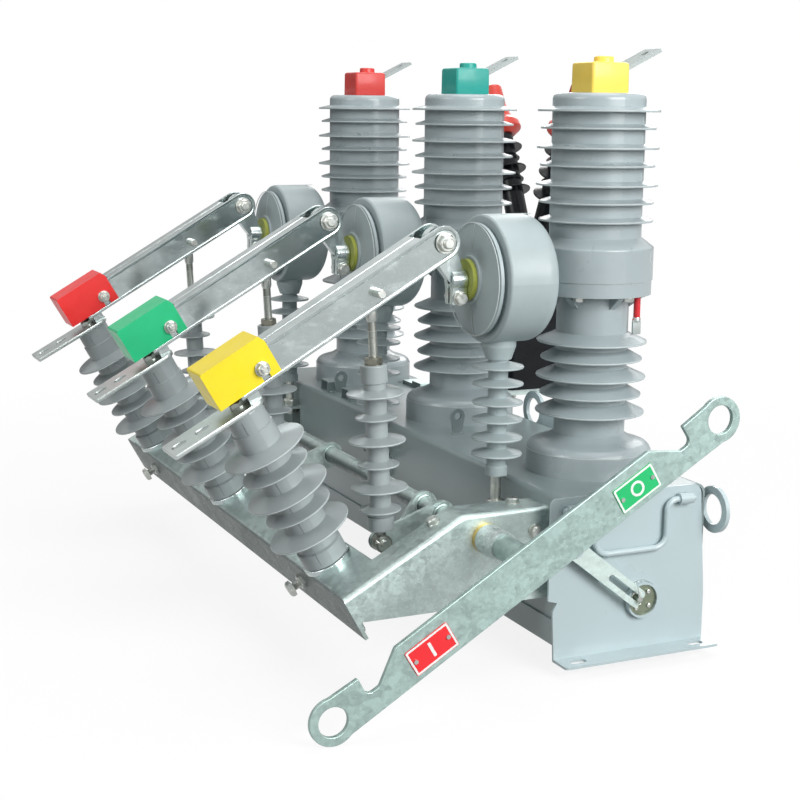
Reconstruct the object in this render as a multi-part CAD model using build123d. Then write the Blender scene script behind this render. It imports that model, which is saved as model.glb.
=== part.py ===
from build123d import *
import os
from math import acos, asin, atan2, cos, degrees, hypot, radians, sin, tan

os.makedirs("parts", exist_ok=True)

# Outdoor three-pole vacuum circuit breaker with an integrated disconnector.
# X runs along the pole row, with the hand lever at the +X end. -Y is the disconnector side. Z = 0 is
# the plane under the mounting feet, and the middle pole stands on the Z axis. Lengths in mm, angles in degrees.

# Clearances
seat_gap = 0.3
run_gap = 0.06
bolt_gap = 0.3

# Pole row
pole_pitch = 340.0
pole_names = ("near", "middle", "far")
pole_places = (pole_pitch, 0.0, -pole_pitch)

# Tank, end plates and feet
tank_sheet = 3.0
tank_half_length = 457.0
tank_front = -110.0
tank_rear = 88.0
tank_top = 190.0
tank_bottom = 20.0
tank_front_bend = 6.0
tank_rear_bend = 13.0
end_plate_lip = 10.0
end_plate_lip_bottom = 73.0
foot_reach = 28.0
foot_front = -111.0
foot_rear = 95.0
foot_sheet = 3.0
slot_width = 11.0
slot_length = 22.0
slot_spacing = 158.0
slot_middle = -9.0
cover_sheet = 2.0
cover_wall_height = 29.0

# Pole columns
base_radius = 74.6
base_wall = 24.0
base_height = 42.0
base_shoulder = 44.0
neck_radius = 42.4
lower_shed_heights = (71.0, 92.3, 113.5, 134.9, 155.3)
lower_shed_radii = (64.5, 59.7, 64.5, 59.7, 64.5)
shed_tip = 2.4
lower_shed_rise = 11.0
collar_bottom = 212.0
collar_radius = 67.5
collar_height = 17.0
upper_collar_radius = 68.6
upper_collar_height = 38.0
upper_cone = 11.0
upper_radius = 53.8
upper_shed_heights = (297.3, 318.2, 338.3, 360.2, 380.5, 402.7, 422.4)
upper_shed_radii = (66.2, 66.2, 70.4, 66.2, 70.4, 66.2, 70.4)
upper_shed_rise = 5.0
column_height = 442.5
column_bore = 30.0
chamber_radius = 45.3
chamber_roof = 20.5
gusset_count = 6
gusset_thickness = 7.0
gusset_drop = 18.0
gusset_reach = 60.0
flange_bolt_circle = 57.0
flange_bolt_turn = 12.0
flange_bolt_radius = 4.0
flange_bolt_head = 5.5
flange_bolt_flats = 13.0
flange_bolt_depth = 12.0

# Vacuum interrupter, contacts and drive inside the columns
interrupter_radius = 38.0
interrupter_wall = 5.0
interrupter_height = 160.0
contact_radius = 26.0
contact_thickness = 10.0
contact_gap = 9.3
contact_travel = 9.0
stem_radius = 10.0
terminal_block_height = 36.0
terminal_block_foot = 14.0
drive_rod_radius = 14.0
main_shaft_radius = 12.0
main_shaft_throw = 34.0
main_shaft_height = 114.5
drive_pin_radius = 4.0
drive_arm_thickness = 6.0
drive_fork_wall = 6.0
drive_fork_height = 46.0
shaft_bearing_size = 34.0
shaft_bearing_depth = 12.0

# Current transformer bushing in front of each column, its conductor and its shed leg
bushing_height = 233.0
bushing_radius = 73.0
bushing_front = -150.0
bushing_back = -83.0
bushing_edge = 17.0
boss_radius = 19.0
disc_front = -158.0
disc_radius = 64.0
groove_radius = 56.0
face_ring_radius = 27.7
face_ring_front = -166.0
conductor_radius = 11.0
conductor_front = -190.5
conductor_end_radius = 8.0
conductor_socket_radius = 4.2
conductor_socket_depth = 8.0
gasket_radius = 23.5
gasket_thickness = 5.0
leg_place = -124.8
leg_neck_radius = 20.0
leg_core_radius = 11.5
leg_shed_radius = 29.4
leg_shed_heights = (28.4, 47.5, 69.0, 89.0, 111.0, 131.0)
leg_shed_rise = 6.0
leg_bottom = 3.0
leg_rod_radius = 6.0
leg_rod_end = 50.0
leg_nut_flats = 19.0
leg_nut_height = 8.0
bracket_sheet = 4.0
bracket_width = 34.0
bracket_reach = 32.0
bracket_drop = 36.0
bracket_level = 154.0

# Hinge clamp and blades of the disconnector
pivot_y = -206.0
pivot_z = 467.0
blade_slope = 30.5
blade_length = 285.0
blade_width = 38.0
blade_thickness = 4.0
blade_outer = 20.5
blade_rim = 4.0
blade_dish = 1.2
blade_lip_reach = 8.0
blade_lip_thickness = 3.0
blade_lip_end = 230.0
pivot_radius = 6.0
clamp_radius = 12.5
clamp_middle = -181.0
clamp_length = 18.0
clamp_lug_half = 9.5
clamp_lug_drop = 27.0
clamp_slit = 3.0
clamp_bolt_radius = 4.0
clamp_bolt_drop = 19.5
clamp_washer_radius = 8.4
ear_thickness = 12.0
ear_radius = 17.0
pull_pin_along = 96.4
pull_pin_across = -4.1
pull_pin_radius = 5.0
cover_bolt_along = 250.6
cover_bolt_radius = 4.0
cover_washer_radius = 8.5
cover_bolt_flats = 13.0
blade_cover_start = 232.9
blade_cover_end = 312.0
blade_cover_top = 32.0
blade_cover_bottom = -13.7
blade_cover_half = 24.0
blade_cover_wall = 3.0
blade_cover_slot = 9.4

# Post insulators, fixed contacts and line terminals
post_lean = 29.0
jaw_y = -440.7
jaw_z = 300.0
post_top = 8.0
post_seat = 215.0
post_base_height = 7.0
post_base_radius = 28.5
post_core_radius = 24.0
post_top_radius = 22.5
post_foot_radius = 26.7
post_shed_places = (59.9, 85.8, 114.8, 140.2, 168.0)
post_shed_radii = (47.7, 38.8, 47.7, 38.8, 47.7)
post_shed_rise = 7.0
line_plate_width = 50.0
line_plate_thickness = 5.0
line_plate_tip = 92.0
line_plate_tail = 24.0
line_plate_tail_corner = 14.0
line_slot_places = (78.0, 49.0)
line_slot_width = 12.0
line_slot_length = 17.0
contact_block_front = -8.0
contact_block_rear = 22.0
contact_block_height = 40.0
jaw_bolt_place = 2.0
jaw_bolt_radius = 5.0
jaw_bolt_flats = 16.0
jaw_washer_radius = 9.0

# Disconnector frame
frame_half_length = 440.0
frame_sheet = 4.0
frame_fold_y = -360.0
frame_fold_z = 98.9
frame_top_width = 60.0
frame_front_height = 55.0
frame_arm_top = 177.5
frame_arm_bottom = 71.5
frame_arm_flange = 40.0
frame_bend = 6.0
frame_bolt_flats = 13.0
frame_bolt_radius = 4.0
frame_bolt_head = 6.0
frame_front_bolts = (288.0, -322.0)
frame_front_bolt_place = 27.0
frame_front_bolt_flats = 17.0
frame_front_bolt_radius = 5.0
frame_front_bolt_reach = 14.0
frame_rear_bolt_reach = 32.0
frame_slope_bolt_place = 136.0
frame_side_bolt_reach = 18.0
frame_side_bolt_level = 150.0
frame_lap = 24.0

# Disconnector shaft, cranks and hand lever
shaft_y = -190.0
shaft_z = 149.0
shaft_radius = 11.0
shaft_far_end = -466.0
bush_radius = 17.0
bush_flange = 6.0
bush_spigot_radius = 14.0
shaft_collar_radius = 17.0
shaft_collar_length = 35.5
sleeve_radius = 14.0
set_screw_radius = 3.0
crank_pin_y = -270.5
crank_pin_z = 126.0
crank_pin_radius = 5.0
crank_hub_radius = 16.5
crank_eye_radius = 11.0
crank_thickness = 6.0
crank_offset = -10.0
stop_arm_offset = -58.0
stop_arm_length = 58.0
stop_arm_angle = 229.0
stop_arm_eye = 9.0
lever_face = 550.0
lever_thickness = 6.0
lever_angle = 31.1
lever_half_span = 263.5
lever_half_width = 24.0
lever_ring_radius = 25.5
lever_hole_radius = 16.0
lever_hook_place = 219.5
lever_hook_depth = 24.0
lever_hook_mouth = 171.0
lever_hook_floor = 205.0
label_place = 140.0
label_drop = -2.5
label_length = 54.0
label_width = 30.0
label_thickness = 1.2
label_rivet_spacing = 42.0
label_rivet_radius = 2.4
label_rivet_height = 1.4

# Pull-rod insulators between cranks and blades
pull_core_radius = 12.7
pull_end_radius = 15.0
pull_body_start = 16.0
pull_body_end = 207.0
pull_shed_places = (39.8, 65.6, 92.1, 120.1, 146.6, 174.1)
pull_shed_radii = (23.5, 32.0, 23.5, 32.0, 23.5, 32.0)
pull_shed_rise = 5.0
pull_eye_thickness = 12.6
pull_lower_eye_radius = 10.5
pull_upper_eye_radius = 15.0
pull_upper_play = 4.7
pull_rod_radius = 5.0
pull_nut_flats = 17.0

# Interlock on the near end plate
interlock_y = 2.0
interlock_z = 61.0
interlock_ring_radius = 21.0
interlock_disc_radius = 18.2
interlock_ring_height = 7.0
interlock_disc_thickness = 3.6
interlock_shaft_radius = 8.0
interlock_pin_y = -10.5
interlock_pin_z = 67.0
interlock_pin_radius = 3.2
interlock_fork_y = -94.0
interlock_fork_z = 132.5
fork_width = 22.0
fork_thickness = 4.0
fork_standoff = 10.3
fork_slot_clearance = 0.8
fork_slot_length = 52.0
fork_stud_radius = 4.0

# Lifting handle on the near end plate
handle_radius = 3.5
handle_standoff = 5.5
handle_axis_z = 176.0
handle_low_z = 121.5
handle_near_leg = 31.0
handle_far_leg = -64.0
handle_top_bend = 12.0
handle_low_bend = 16.0
handle_sleeve_length = 18.0
handle_sleeve_radius = 6.5
handle_sleeve_gap = 15.0
handle_end = 37.0

# Charging lever with two rings on the rear wall
charging_x = 252.8
charging_z = 178.4
charging_angle = -5.4
charging_half_span = 212.0
charging_half_width = 14.0
charging_ring_radius = 27.5
charging_hole_radius = 18.0
charging_thickness = 5.0
charging_boss_radius = 12.0
charging_boss_height = 6.0
charging_stud_radius = 6.0

# Voltage transformer behind the tank
vt_x = -170.0
vt_y = 204.0
vt_bottom = 200.0
vt_half_x = 72.0
vt_half_y = 70.0
vt_shoulder = 385.0
vt_crown = 432.0
vt_crown_half = 56.0
vt_edge = 10.0
vt_apex_z = 357.0
vt_lean = 24.8
vt_core_radius = 17.0
vt_core_end = 236.0
vt_shed_places = (145.0, 162.0, 180.0, 197.0, 215.0)
vt_shed_radii = (28.0, 21.0, 28.0, 21.0, 28.0)
vt_shed_rise = 6.0
vt_cap_length = 84.0
vt_cap_skirt = 33.0
vt_cap_neck = 22.0
vt_cap_knob = 14.0
vt_bar_width = 30.0
vt_bar_height = 10.0
vt_bar_front = 35.0
vt_bar_spacing = 90.0
vt_cross_x = (-265.0, -75.0)
vt_cross_width = 30.0

# Covers, terminals and small pieces on top
top_cover_x = 48.0
top_cover_y = 50.0
top_cover_height = 34.5
top_cover_wall = 2.5
top_knob_x = 24.0
top_knob_y = 20.0
top_knob_height = 7.0
top_knob_place = 4.0
top_stem_height = 27.0
top_nut_flats = 30.0
top_nut_height = 9.0
top_spacer_radius = 14.0
top_spacer_height = 11.5
top_plate_width = 34.0
top_plate_thickness = 4.0
top_plate_rise = 26.1
top_plate_end = 72.0
top_plate_bend = 17.0
top_plate_hole = 5.5
top_plate_hole_inset = 13.0
lead_offset_x = 39.8
lead_offset_y = 35.8
tank_lug_places = ((108.0, -58.0), (-221.0, -88.0))
tank_lug_height = 34.0
tank_lug_radius = 7.0
tank_socket_places = (-247.0, -167.0)
tank_socket_front = -104.0
tank_socket_length = 26.0
tank_socket_width = 28.0
tank_socket_height = 18.0
tank_socket_wall = 2.0


def outline(corners):
    """Closed flat face through the corners (u, v) or (u, v, radius), where a radius rounds that corner."""
    starts = []
    edges = []
    for index, corner in enumerate(corners):
        here = Vector(corner[0], corner[1])
        if len(corner) == 2:
            starts.append((here, here))
            continue
        radius = corner[2]
        before = corners[index - 1]
        after = corners[(index + 1) % len(corners)]
        to_before = (Vector(before[0], before[1]) - here).normalized()
        to_after = (Vector(after[0], after[1]) - here).normalized()
        half_angle = acos(max(-1.0, min(1.0, to_before.dot(to_after)))) / 2
        setback = radius / tan(half_angle)
        bisector = (to_before + to_after).normalized()
        middle = here + bisector * (radius / sin(half_angle) - radius)
        first = here + to_before * setback
        last = here + to_after * setback
        edges.append(ThreePointArc(first, middle, last))
        starts.append((first, last))
    for index, (_, leave) in enumerate(starts):
        arrive = starts[(index + 1) % len(starts)][0]
        if (arrive - leave).length > 1e-4:
            edges.append(Line(leave, arrive))
    return Face(Wire(edges))


def turned(corners):
    """Solid of revolution about Z from an outline of (radius, height) corners."""
    return revolve(Plane.XZ * outline(corners), Axis.Z, 360)


def shed_profile(core, bottom, top, heights, radii, rise):
    """Outer side of an insulator, bottom to top: a plain core with sheds that slope up to it."""
    corners = [(core, bottom)]
    for height, radius in zip(heights, radii):
        corners.append((core, height - shed_tip / 2))
        corners.append((radius, height - shed_tip / 2))
        corners.append((radius, height + shed_tip / 2))
        corners.append((core, height + rise))
    corners.append((core, top))
    return corners


def slab_x(corners, low, high):
    """Plate between two X planes from (y, z) corners."""
    return extrude(Plane.YZ.offset(low) * outline(corners), amount=high - low, dir=(1, 0, 0))


def slab_y(corners, low, high):
    """Plate between two Y planes from (x, z) corners."""
    return extrude(Plane.XZ.offset(-low) * outline(corners), amount=high - low, dir=(0, 1, 0))


def slab_z(corners, low, high):
    """Plate between two Z planes from (x, y) corners."""
    return extrude(Plane.XY.offset(low) * outline(corners), amount=high - low, dir=(0, 0, 1))


def rod(start, end, radius):
    """Round bar between two points."""
    axis = Vector(*end) - Vector(*start)
    place = Plane(origin=start, z_dir=axis)
    return place * Cylinder(radius, axis.length, align=(Align.CENTER, Align.CENTER, Align.MIN))


def hexagon(start, end, flats):
    """Hexagonal bar between two points, such as a bolt head or a nut."""
    axis = Vector(*end) - Vector(*start)
    place = Plane(origin=start, z_dir=axis)
    return extrude(place * RegularPolygon(flats / 2, 6, major_radius=False), amount=axis.length)


def box(low, high):
    """Block between two opposite corners."""
    size = [b - a for a, b in zip(low, high)]
    return Pos(*low) * Box(*size, align=(Align.MIN, Align.MIN, Align.MIN))


def moved(shape, x=0.0, y=0.0, z=0.0):
    return Pos(x, y, z) * shape


def hull_plate(first, second, first_radius, second_radius, low, high):
    """Plate between two X planes: two round ends at (y, z) centres and the straight web between them."""
    dy = second[0] - first[0]
    dz = second[1] - first[1]
    span = hypot(dy, dz)
    side = asin((first_radius - second_radius) / span)
    heading = atan2(dz, dy)
    corners = []
    for centre, radius, turn in (
        (first, first_radius, 1),
        (second, second_radius, 1),
        (second, second_radius, -1),
        (first, first_radius, -1),
    ):
        angle = heading + turn * (radians(90) - side)
        corners.append((centre[0] + radius * cos(angle), centre[1] + radius * sin(angle)))
    web = slab_x(corners, low, high)
    ends = rod((low, *first), (high, *first), first_radius) + rod((low, *second), (high, *second), second_radius)
    return web + ends


def write(name, shape):
    """Write one node: a solid, or a group of separate solids."""
    solids = shape.solids()
    export_step(solids[0] if len(solids) == 1 else Compound(children=list(solids)), f"parts/{name}.step")


# Places worked out from the sizes above
end_face = tank_half_length + tank_sheet
collar_parting = tank_top + collar_bottom + collar_height
bushing_z = tank_top + bushing_height
column_top = tank_top + column_height
block_low = collar_parting - terminal_block_foot
block_high = block_low + terminal_block_height
chamber_top = column_top - chamber_roof
blade_inner = blade_outer - blade_thickness
cover_inner = blade_cover_half - blade_cover_wall
fork_low = end_face + fork_standoff


def blade_point(along, across):
    """(y, z) of a point in the blade's own directions: from the pivot towards the jaw, and square to it."""
    slope = radians(blade_slope)
    y = pivot_y - along * cos(slope) - across * sin(slope)
    z = pivot_z - along * sin(slope) + across * cos(slope)
    return y, z


def post_point(forward, down):
    """(y, z) of a point in the post's directions: forward along its top, and down its axis."""
    lean = radians(post_lean)
    y = jaw_y - forward * cos(lean) + down * sin(lean)
    z = jaw_z - forward * sin(lean) - down * cos(lean)
    return y, z


def lever_point(along, across):
    """(y, z) on the hand lever: along it towards the rear ring, and across it upwards."""
    angle = radians(lever_angle)
    y = shaft_y + along * cos(angle) - across * sin(angle)
    z = shaft_z + along * sin(angle) + across * cos(angle)
    return y, z


def post_place(x, down):
    """Frame on a post's axis, Z up the post, at a distance down from the jaw."""
    y, z = post_point(0, down)
    lean = radians(post_lean)
    return Plane(origin=(x, y, z), x_dir=(1, 0, 0), z_dir=(0, -sin(lean), cos(lean)))


# Tank
def tank():
    low = tank_bottom + cover_sheet + seat_gap
    outer = [(tank_front, low), (tank_front, tank_top, tank_front_bend), (tank_rear, tank_top, tank_rear_bend),
             (tank_rear, low)]
    front = tank_front + tank_sheet
    rear = tank_rear - tank_sheet
    roof = tank_top - tank_sheet
    inner = [(front, low - 1), (front, roof, tank_front_bend - tank_sheet), (rear, roof, tank_rear_bend - tank_sheet),
             (rear, low - 1)]
    shell = slab_x(outer, -tank_half_length, tank_half_length) - slab_x(inner, -end_face, end_face)
    for x in pole_places:
        shell -= moved(Cylinder(column_bore + 4, 4 * tank_sheet), x, 0, tank_top)
    wall = tank_rear - tank_sheet / 2
    boss_end = tank_rear + charging_boss_height
    stud_end = boss_end + charging_thickness + 2 * seat_gap
    shell += rod((charging_x, wall, charging_z), (charging_x, boss_end, charging_z), charging_boss_radius)
    shell += rod((charging_x, boss_end - 1, charging_z), (charging_x, stud_end, charging_z), charging_stud_radius)
    cap = stud_end + 4
    return shell + rod((charging_x, stud_end, charging_z), (charging_x, cap, charging_z), charging_boss_radius)


def end_plate(side):
    """Plate that closes one end of the tank, with its foot bent outwards. side is 1 near, -1 far."""
    lip = tank_front - end_plate_lip
    corners = [(foot_front, 0), (tank_front - 4, 60), (tank_front + 1.4, end_plate_lip_bottom - 3.5),
               (lip, end_plate_lip_bottom), (lip, tank_top, 8), (tank_rear - 8, tank_top, 12),
               (tank_rear + 2, 60), (tank_rear + 2, 0)]
    plate = slab_x(corners, tank_half_length, end_face)
    foot = slab_z([(tank_half_length, foot_front), (end_face + foot_reach, foot_front, 4),
                   (end_face + foot_reach, foot_rear, 4), (tank_half_length, foot_rear)], 0, foot_sheet)
    plate += foot
    slot_x = end_face + foot_reach / 2
    for place in (-slot_spacing / 2, slot_spacing / 2):
        slot = extrude(SlotOverall(slot_length, slot_width, rotation=90), amount=3 * foot_sheet)
        plate -= moved(slot, slot_x, slot_middle + place, -foot_sheet)
    if side > 0:
        plate -= rod((0, interlock_y, interlock_z), (2 * end_face, interlock_y, interlock_z),
                     interlock_shaft_radius + run_gap)
        plate += handle_sleeves() + fork_stud()
        return plate
    return mirror(plate, about=Plane.YZ)


def handle_sleeves():
    x = end_face + handle_standoff
    sleeves = Part()
    for start in (handle_near_leg + handle_sleeve_gap, handle_far_leg - handle_sleeve_gap - handle_sleeve_length - 5):
        end = start + handle_sleeve_length
        sleeve = rod((x, start, handle_axis_z), (x, end, handle_axis_z), handle_sleeve_radius)
        foot = box((end_face - 1, start, handle_axis_z - 4), (x, end, handle_axis_z + 4))
        bore = rod((x, start - 1, handle_axis_z), (x, end + 1, handle_axis_z), handle_radius + run_gap)
        sleeves += sleeve + foot - bore
    return sleeves


def fork_stud():
    place = (interlock_fork_y, interlock_fork_z)
    shoulder = fork_low - seat_gap
    stud_end = fork_low + fork_thickness + seat_gap
    stud = rod((end_face - 1, *place), (shoulder, *place), 7)
    stud += rod((shoulder - 1, *place), (stud_end, *place), fork_stud_radius)
    return stud + rod((stud_end, *place), (stud_end + 3, *place), 7)


def bottom_cover():
    """Shallow tray around the lower edge of the tank."""
    front = tank_front - seat_gap
    rear = tank_rear + seat_gap
    top = tank_bottom + cover_wall_height
    outer = box((-tank_half_length, front - cover_sheet, tank_bottom),
                (tank_half_length, rear + cover_sheet, top))
    inner = box((-end_face, front, tank_bottom + cover_sheet), (end_face, rear, top + 1))
    return outer - inner


# Pole columns
def lower_insulator():
    """Lower half of a column, at X = 0: bell-shaped foot, sheds and the lower half of the collar."""
    sheds = [tank_top + height for height in lower_shed_heights]
    foot = tank_top + base_height
    corners = [(0, tank_top), (base_radius, tank_top), (base_radius, tank_top + base_wall + 8, 12),
               (base_shoulder + 8, foot - 3, 30), (neck_radius, foot + 3)]
    corners += shed_profile(neck_radius, foot + 6, tank_top + collar_bottom, sheds, lower_shed_radii,
                            lower_shed_rise)
    corners += [(collar_radius, tank_top + collar_bottom), (collar_radius, collar_parting), (0, collar_parting)]
    body = turned(corners)
    body += gussets()
    body -= moved(Cylinder(column_bore, 3 * column_height), 0, 0, tank_top)
    body -= moved(Cylinder(chamber_radius, 2 * terminal_block_foot), 0, 0, collar_parting)
    body -= conductor_hole()
    return body - flange_bolts(bolt_gap)


def gussets():
    collar = tank_top + collar_bottom
    rib = [(neck_radius - 3, collar + 2), (gusset_reach, collar + 2), (gusset_reach, collar - 3),
           (neck_radius - 3, collar - gusset_drop)]
    plate = slab_y(rib, -gusset_thickness / 2, gusset_thickness / 2)
    ribs = Part()
    for index in range(gusset_count):
        ribs += Rot(0, 0, index * 360 / gusset_count) * plate
    return ribs


def flange_bolts(extra=0.0):
    """Hexagon bolts that hold the two halves of the collar together."""
    bolts = Part()
    collar = tank_top + collar_bottom
    end = collar_parting + flange_bolt_depth + extra
    for index in range(gusset_count):
        angle = radians(flange_bolt_turn + index * 360 / gusset_count)
        x = flange_bolt_circle * cos(angle)
        y = flange_bolt_circle * sin(angle)
        bolts += rod((x, y, collar - 1), (x, y, end), flange_bolt_radius + extra)
        if extra == 0:
            bolts += hexagon((x, y, collar - flange_bolt_head), (x, y, collar), flange_bolt_flats)
    return bolts


def conductor_hole():
    return rod((0, 0, bushing_z), (0, conductor_front - 1, bushing_z), conductor_radius + bolt_gap)


def upper_insulator():
    """Upper half of a column, at X = 0, around the vacuum interrupter."""
    cone_low = collar_parting + upper_collar_height
    cone_high = cone_low + upper_cone
    sheds = [tank_top + height for height in upper_shed_heights]
    corners = [(0, collar_parting), (upper_collar_radius, collar_parting), (upper_collar_radius, cone_low, 3)]
    corners += shed_profile(upper_radius, cone_high, column_top - 8, sheds, upper_shed_radii, upper_shed_rise)
    corners += [(upper_radius, column_top, 7.5), (0, column_top)]
    body = turned(corners)
    body -= moved(Cylinder(chamber_radius, chamber_top - collar_parting, align=(Align.CENTER, Align.CENTER, Align.MIN)),
                  0, 0, collar_parting)
    body -= moved(Cylinder(stem_radius + bolt_gap, 3 * chamber_roof), 0, 0, column_top)
    body -= conductor_hole()
    return body - flange_bolts(bolt_gap)


def conductor():
    """Contact block inside the collar and the round bar that leaves it through the bushing."""
    block = moved(Cylinder(chamber_radius - seat_gap, terminal_block_height,
                           align=(Align.CENTER, Align.CENTER, Align.MIN)), 0, 0, block_low)
    step = face_ring_front - seat_gap - gasket_thickness
    bar = rod((0, -stem_radius, bushing_z), (0, step, bushing_z), conductor_radius)
    bar += rod((0, step + 1, bushing_z), (0, conductor_front, bushing_z), conductor_end_radius)
    bar -= rod((0, conductor_front + conductor_socket_depth, bushing_z), (0, conductor_front - 1, bushing_z),
               conductor_socket_radius)
    bore = moved(Cylinder(stem_radius + run_gap, 3 * terminal_block_height), 0, 0, bushing_z)
    return block + bar - bore


def interrupter():
    """Sealed vacuum envelope with the fixed contact and the stem up to the top terminal."""
    top = block_high + interrupter_height
    body = rod((0, 0, block_high), (0, 0, top), interrupter_radius)
    body -= rod((0, 0, block_high + interrupter_wall), (0, 0, top - interrupter_wall),
                interrupter_radius - interrupter_wall)
    body -= rod((0, 0, block_high - 1), (0, 0, block_high + interrupter_wall + 1), stem_radius + run_gap)
    fixed = contact_place() + contact_gap
    body += rod((0, 0, fixed), (0, 0, fixed + contact_thickness), contact_radius)
    return body + rod((0, 0, fixed + 1), (0, 0, column_top + top_stem_height), stem_radius)


def contact_place():
    """Height of the moving contact's face with the breaker open."""
    return block_high + 0.55 * interrupter_height


def contact_rod():
    """Moving contact, its stem and the insulating drive rod with its fork."""
    face = contact_place()
    head = rod((0, 0, face - contact_thickness), (0, 0, face), contact_radius)
    joint = block_low - contact_travel - 30
    stem = rod((0, 0, joint), (0, 0, face - 1), stem_radius)
    drive_pin_z = main_shaft_height - contact_travel / 2
    fork_top = drive_pin_z + drive_fork_height
    insulator = rod((0, 0, fork_top - 1), (0, 0, joint), drive_rod_radius)
    half = drive_arm_thickness / 2 + 1
    fork = box((-half - drive_fork_wall, -13, drive_pin_z - 12), (half + drive_fork_wall, 13, fork_top))
    fork -= box((-half, -20, drive_pin_z - 20), (half, 20, fork_top - 12))
    slot = extrude(Plane.YZ.offset(-30) * SlotCenterToCenter(2.0, 2 * drive_pin_radius + 0.6), amount=60)
    fork -= moved(slot, 0, 0, drive_pin_z)
    return head + stem, insulator + fork


def main_shaft():
    """Breaker shaft in the tank with one arm and drive pin for each pole."""
    swing = asin(contact_travel / 2 / main_shaft_throw)
    axis_y = main_shaft_throw * cos(swing)
    pin_z = main_shaft_height - contact_travel / 2
    end = tank_half_length - 1
    shaft = rod((-end, axis_y, main_shaft_height), (end, axis_y, main_shaft_height), main_shaft_radius)
    half = drive_arm_thickness / 2
    reach = half + 1 + drive_fork_wall + 1
    for x in pole_places:
        shaft += hull_plate((axis_y, main_shaft_height), (0, pin_z), main_shaft_radius + 6, 9, x - half, x + half)
        shaft += rod((x - reach, 0, pin_z), (x + reach, 0, pin_z), drive_pin_radius)
    return shaft


def shaft_bearings():
    swing = asin(contact_travel / 2 / main_shaft_throw)
    axis_y = main_shaft_throw * cos(swing)
    half = shaft_bearing_size / 2
    blocks = Part()
    for side in (-1, 1):
        inner = side * (tank_half_length - shaft_bearing_depth)
        outer = side * tank_half_length
        block = box((min(inner, outer), axis_y - half, main_shaft_height - half),
                    (max(inner, outer), axis_y + half, main_shaft_height + half))
        bore = rod((-2 * tank_half_length, axis_y, main_shaft_height),
                   (2 * tank_half_length, axis_y, main_shaft_height), main_shaft_radius + run_gap)
        blocks += block - bore
    return blocks


# Current transformer bushing
def ct_bushing():
    """Cast drum with its boss towards the column, front disc and the shed leg underneath."""
    corners = [(0, -face_ring_front), (face_ring_radius, -face_ring_front, 2), (face_ring_radius, -disc_front + 5),
               (face_ring_radius + 3, -disc_front + 4), (disc_radius, -disc_front), (disc_radius, -disc_front - 4),
               (groove_radius, -disc_front - 5), (groove_radius, -bushing_front),
               (bushing_radius, -bushing_front, 3), (bushing_radius, -bushing_back, bushing_edge),
               (boss_radius, -bushing_back, 3), (boss_radius, 0), (0, 0)]
    drum = moved(Rot(90, 0, 0) * turned(corners), 0, 0, bushing_z)
    drum -= moved(Cylinder(upper_collar_radius + seat_gap, 3 * bushing_radius), 0, 0, bushing_z)
    drum -= box((-bushing_radius, -upper_collar_radius / 2, 0), (bushing_radius, base_radius, column_top))
    drum += leg()
    return drum - conductor_hole()


def leg():
    low = tank_top + leg_bottom
    sheds = [tank_top + height for height in leg_shed_heights]
    neck = sheds[-1] + 24
    corners = [(0, low), (leg_core_radius + 1.5, low), (leg_core_radius + 1.5, low + 10)]
    corners += shed_profile(leg_core_radius, low + 12, sheds[-1] + 8,
                            sheds, [leg_shed_radius] * len(sheds), leg_shed_rise)
    top = bushing_z - bushing_radius / 2
    corners += [(leg_core_radius + 3.5, sheds[-1] + 9), (leg_neck_radius, neck), (leg_neck_radius + 1, top), (0, top)]
    return moved(turned(corners), 0, leg_place, 0)


def gasket():
    end = face_ring_front - seat_gap - gasket_thickness
    ring = rod((0, face_ring_front - seat_gap, bushing_z), (0, end, bushing_z), gasket_radius)
    return ring - conductor_hole()


def leg_rod():
    """Metal rod under the leg with the two nuts that hold it in its bracket."""
    top = tank_top + leg_bottom
    end = tank_top - leg_rod_end
    upper = bracket_level + seat_gap
    lower = bracket_level - bracket_sheet - seat_gap
    bar = rod((0, leg_place, end), (0, leg_place, top), leg_rod_radius)
    bar += hexagon((0, leg_place, upper), (0, leg_place, upper + leg_nut_height), leg_nut_flats)
    return bar + hexagon((0, leg_place, lower - leg_nut_height), (0, leg_place, lower), leg_nut_flats)


def leg_bracket():
    """Angle on the tank's front wall that carries the leg."""
    half = bracket_width / 2
    front = tank_front - bracket_reach
    shelf = slab_z([(-half, front, 8), (half, front, 8), (half, tank_front), (-half, tank_front)],
                   bracket_level - bracket_sheet, bracket_level)
    wall = box((-half, tank_front - bracket_sheet, bracket_level - bracket_drop), (half, tank_front, bracket_level))
    hole = rod((0, leg_place, 0), (0, leg_place, tank_top), leg_rod_radius + bolt_gap)
    return shelf + wall - hole


# Hinge clamp on the conductor
def hinge_clamp():
    front = clamp_middle - clamp_length / 2
    rear = clamp_middle + clamp_length / 2
    body = rod((0, front, bushing_z), (0, rear, bushing_z), clamp_radius)
    body += box((-clamp_lug_half, front, bushing_z - clamp_lug_drop), (clamp_lug_half, rear, bushing_z))
    body += hull_plate((clamp_middle, bushing_z), (pivot_y, pivot_z), clamp_length / 2, ear_radius,
                       -ear_thickness / 2, ear_thickness / 2)
    body -= rod((0, front - 1, bushing_z), (0, rear + 1, bushing_z), conductor_end_radius + run_gap)
    body -= box((-clamp_slit / 2, front - 30, 0), (clamp_slit / 2, rear + 1, bushing_z))
    lug = bushing_z - clamp_bolt_drop
    body -= rod((-40, clamp_middle, lug), (40, clamp_middle, lug), clamp_bolt_radius + run_gap)
    return body - rod((-40, pivot_y, pivot_z), (40, pivot_y, pivot_z), pivot_radius + run_gap)


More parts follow.
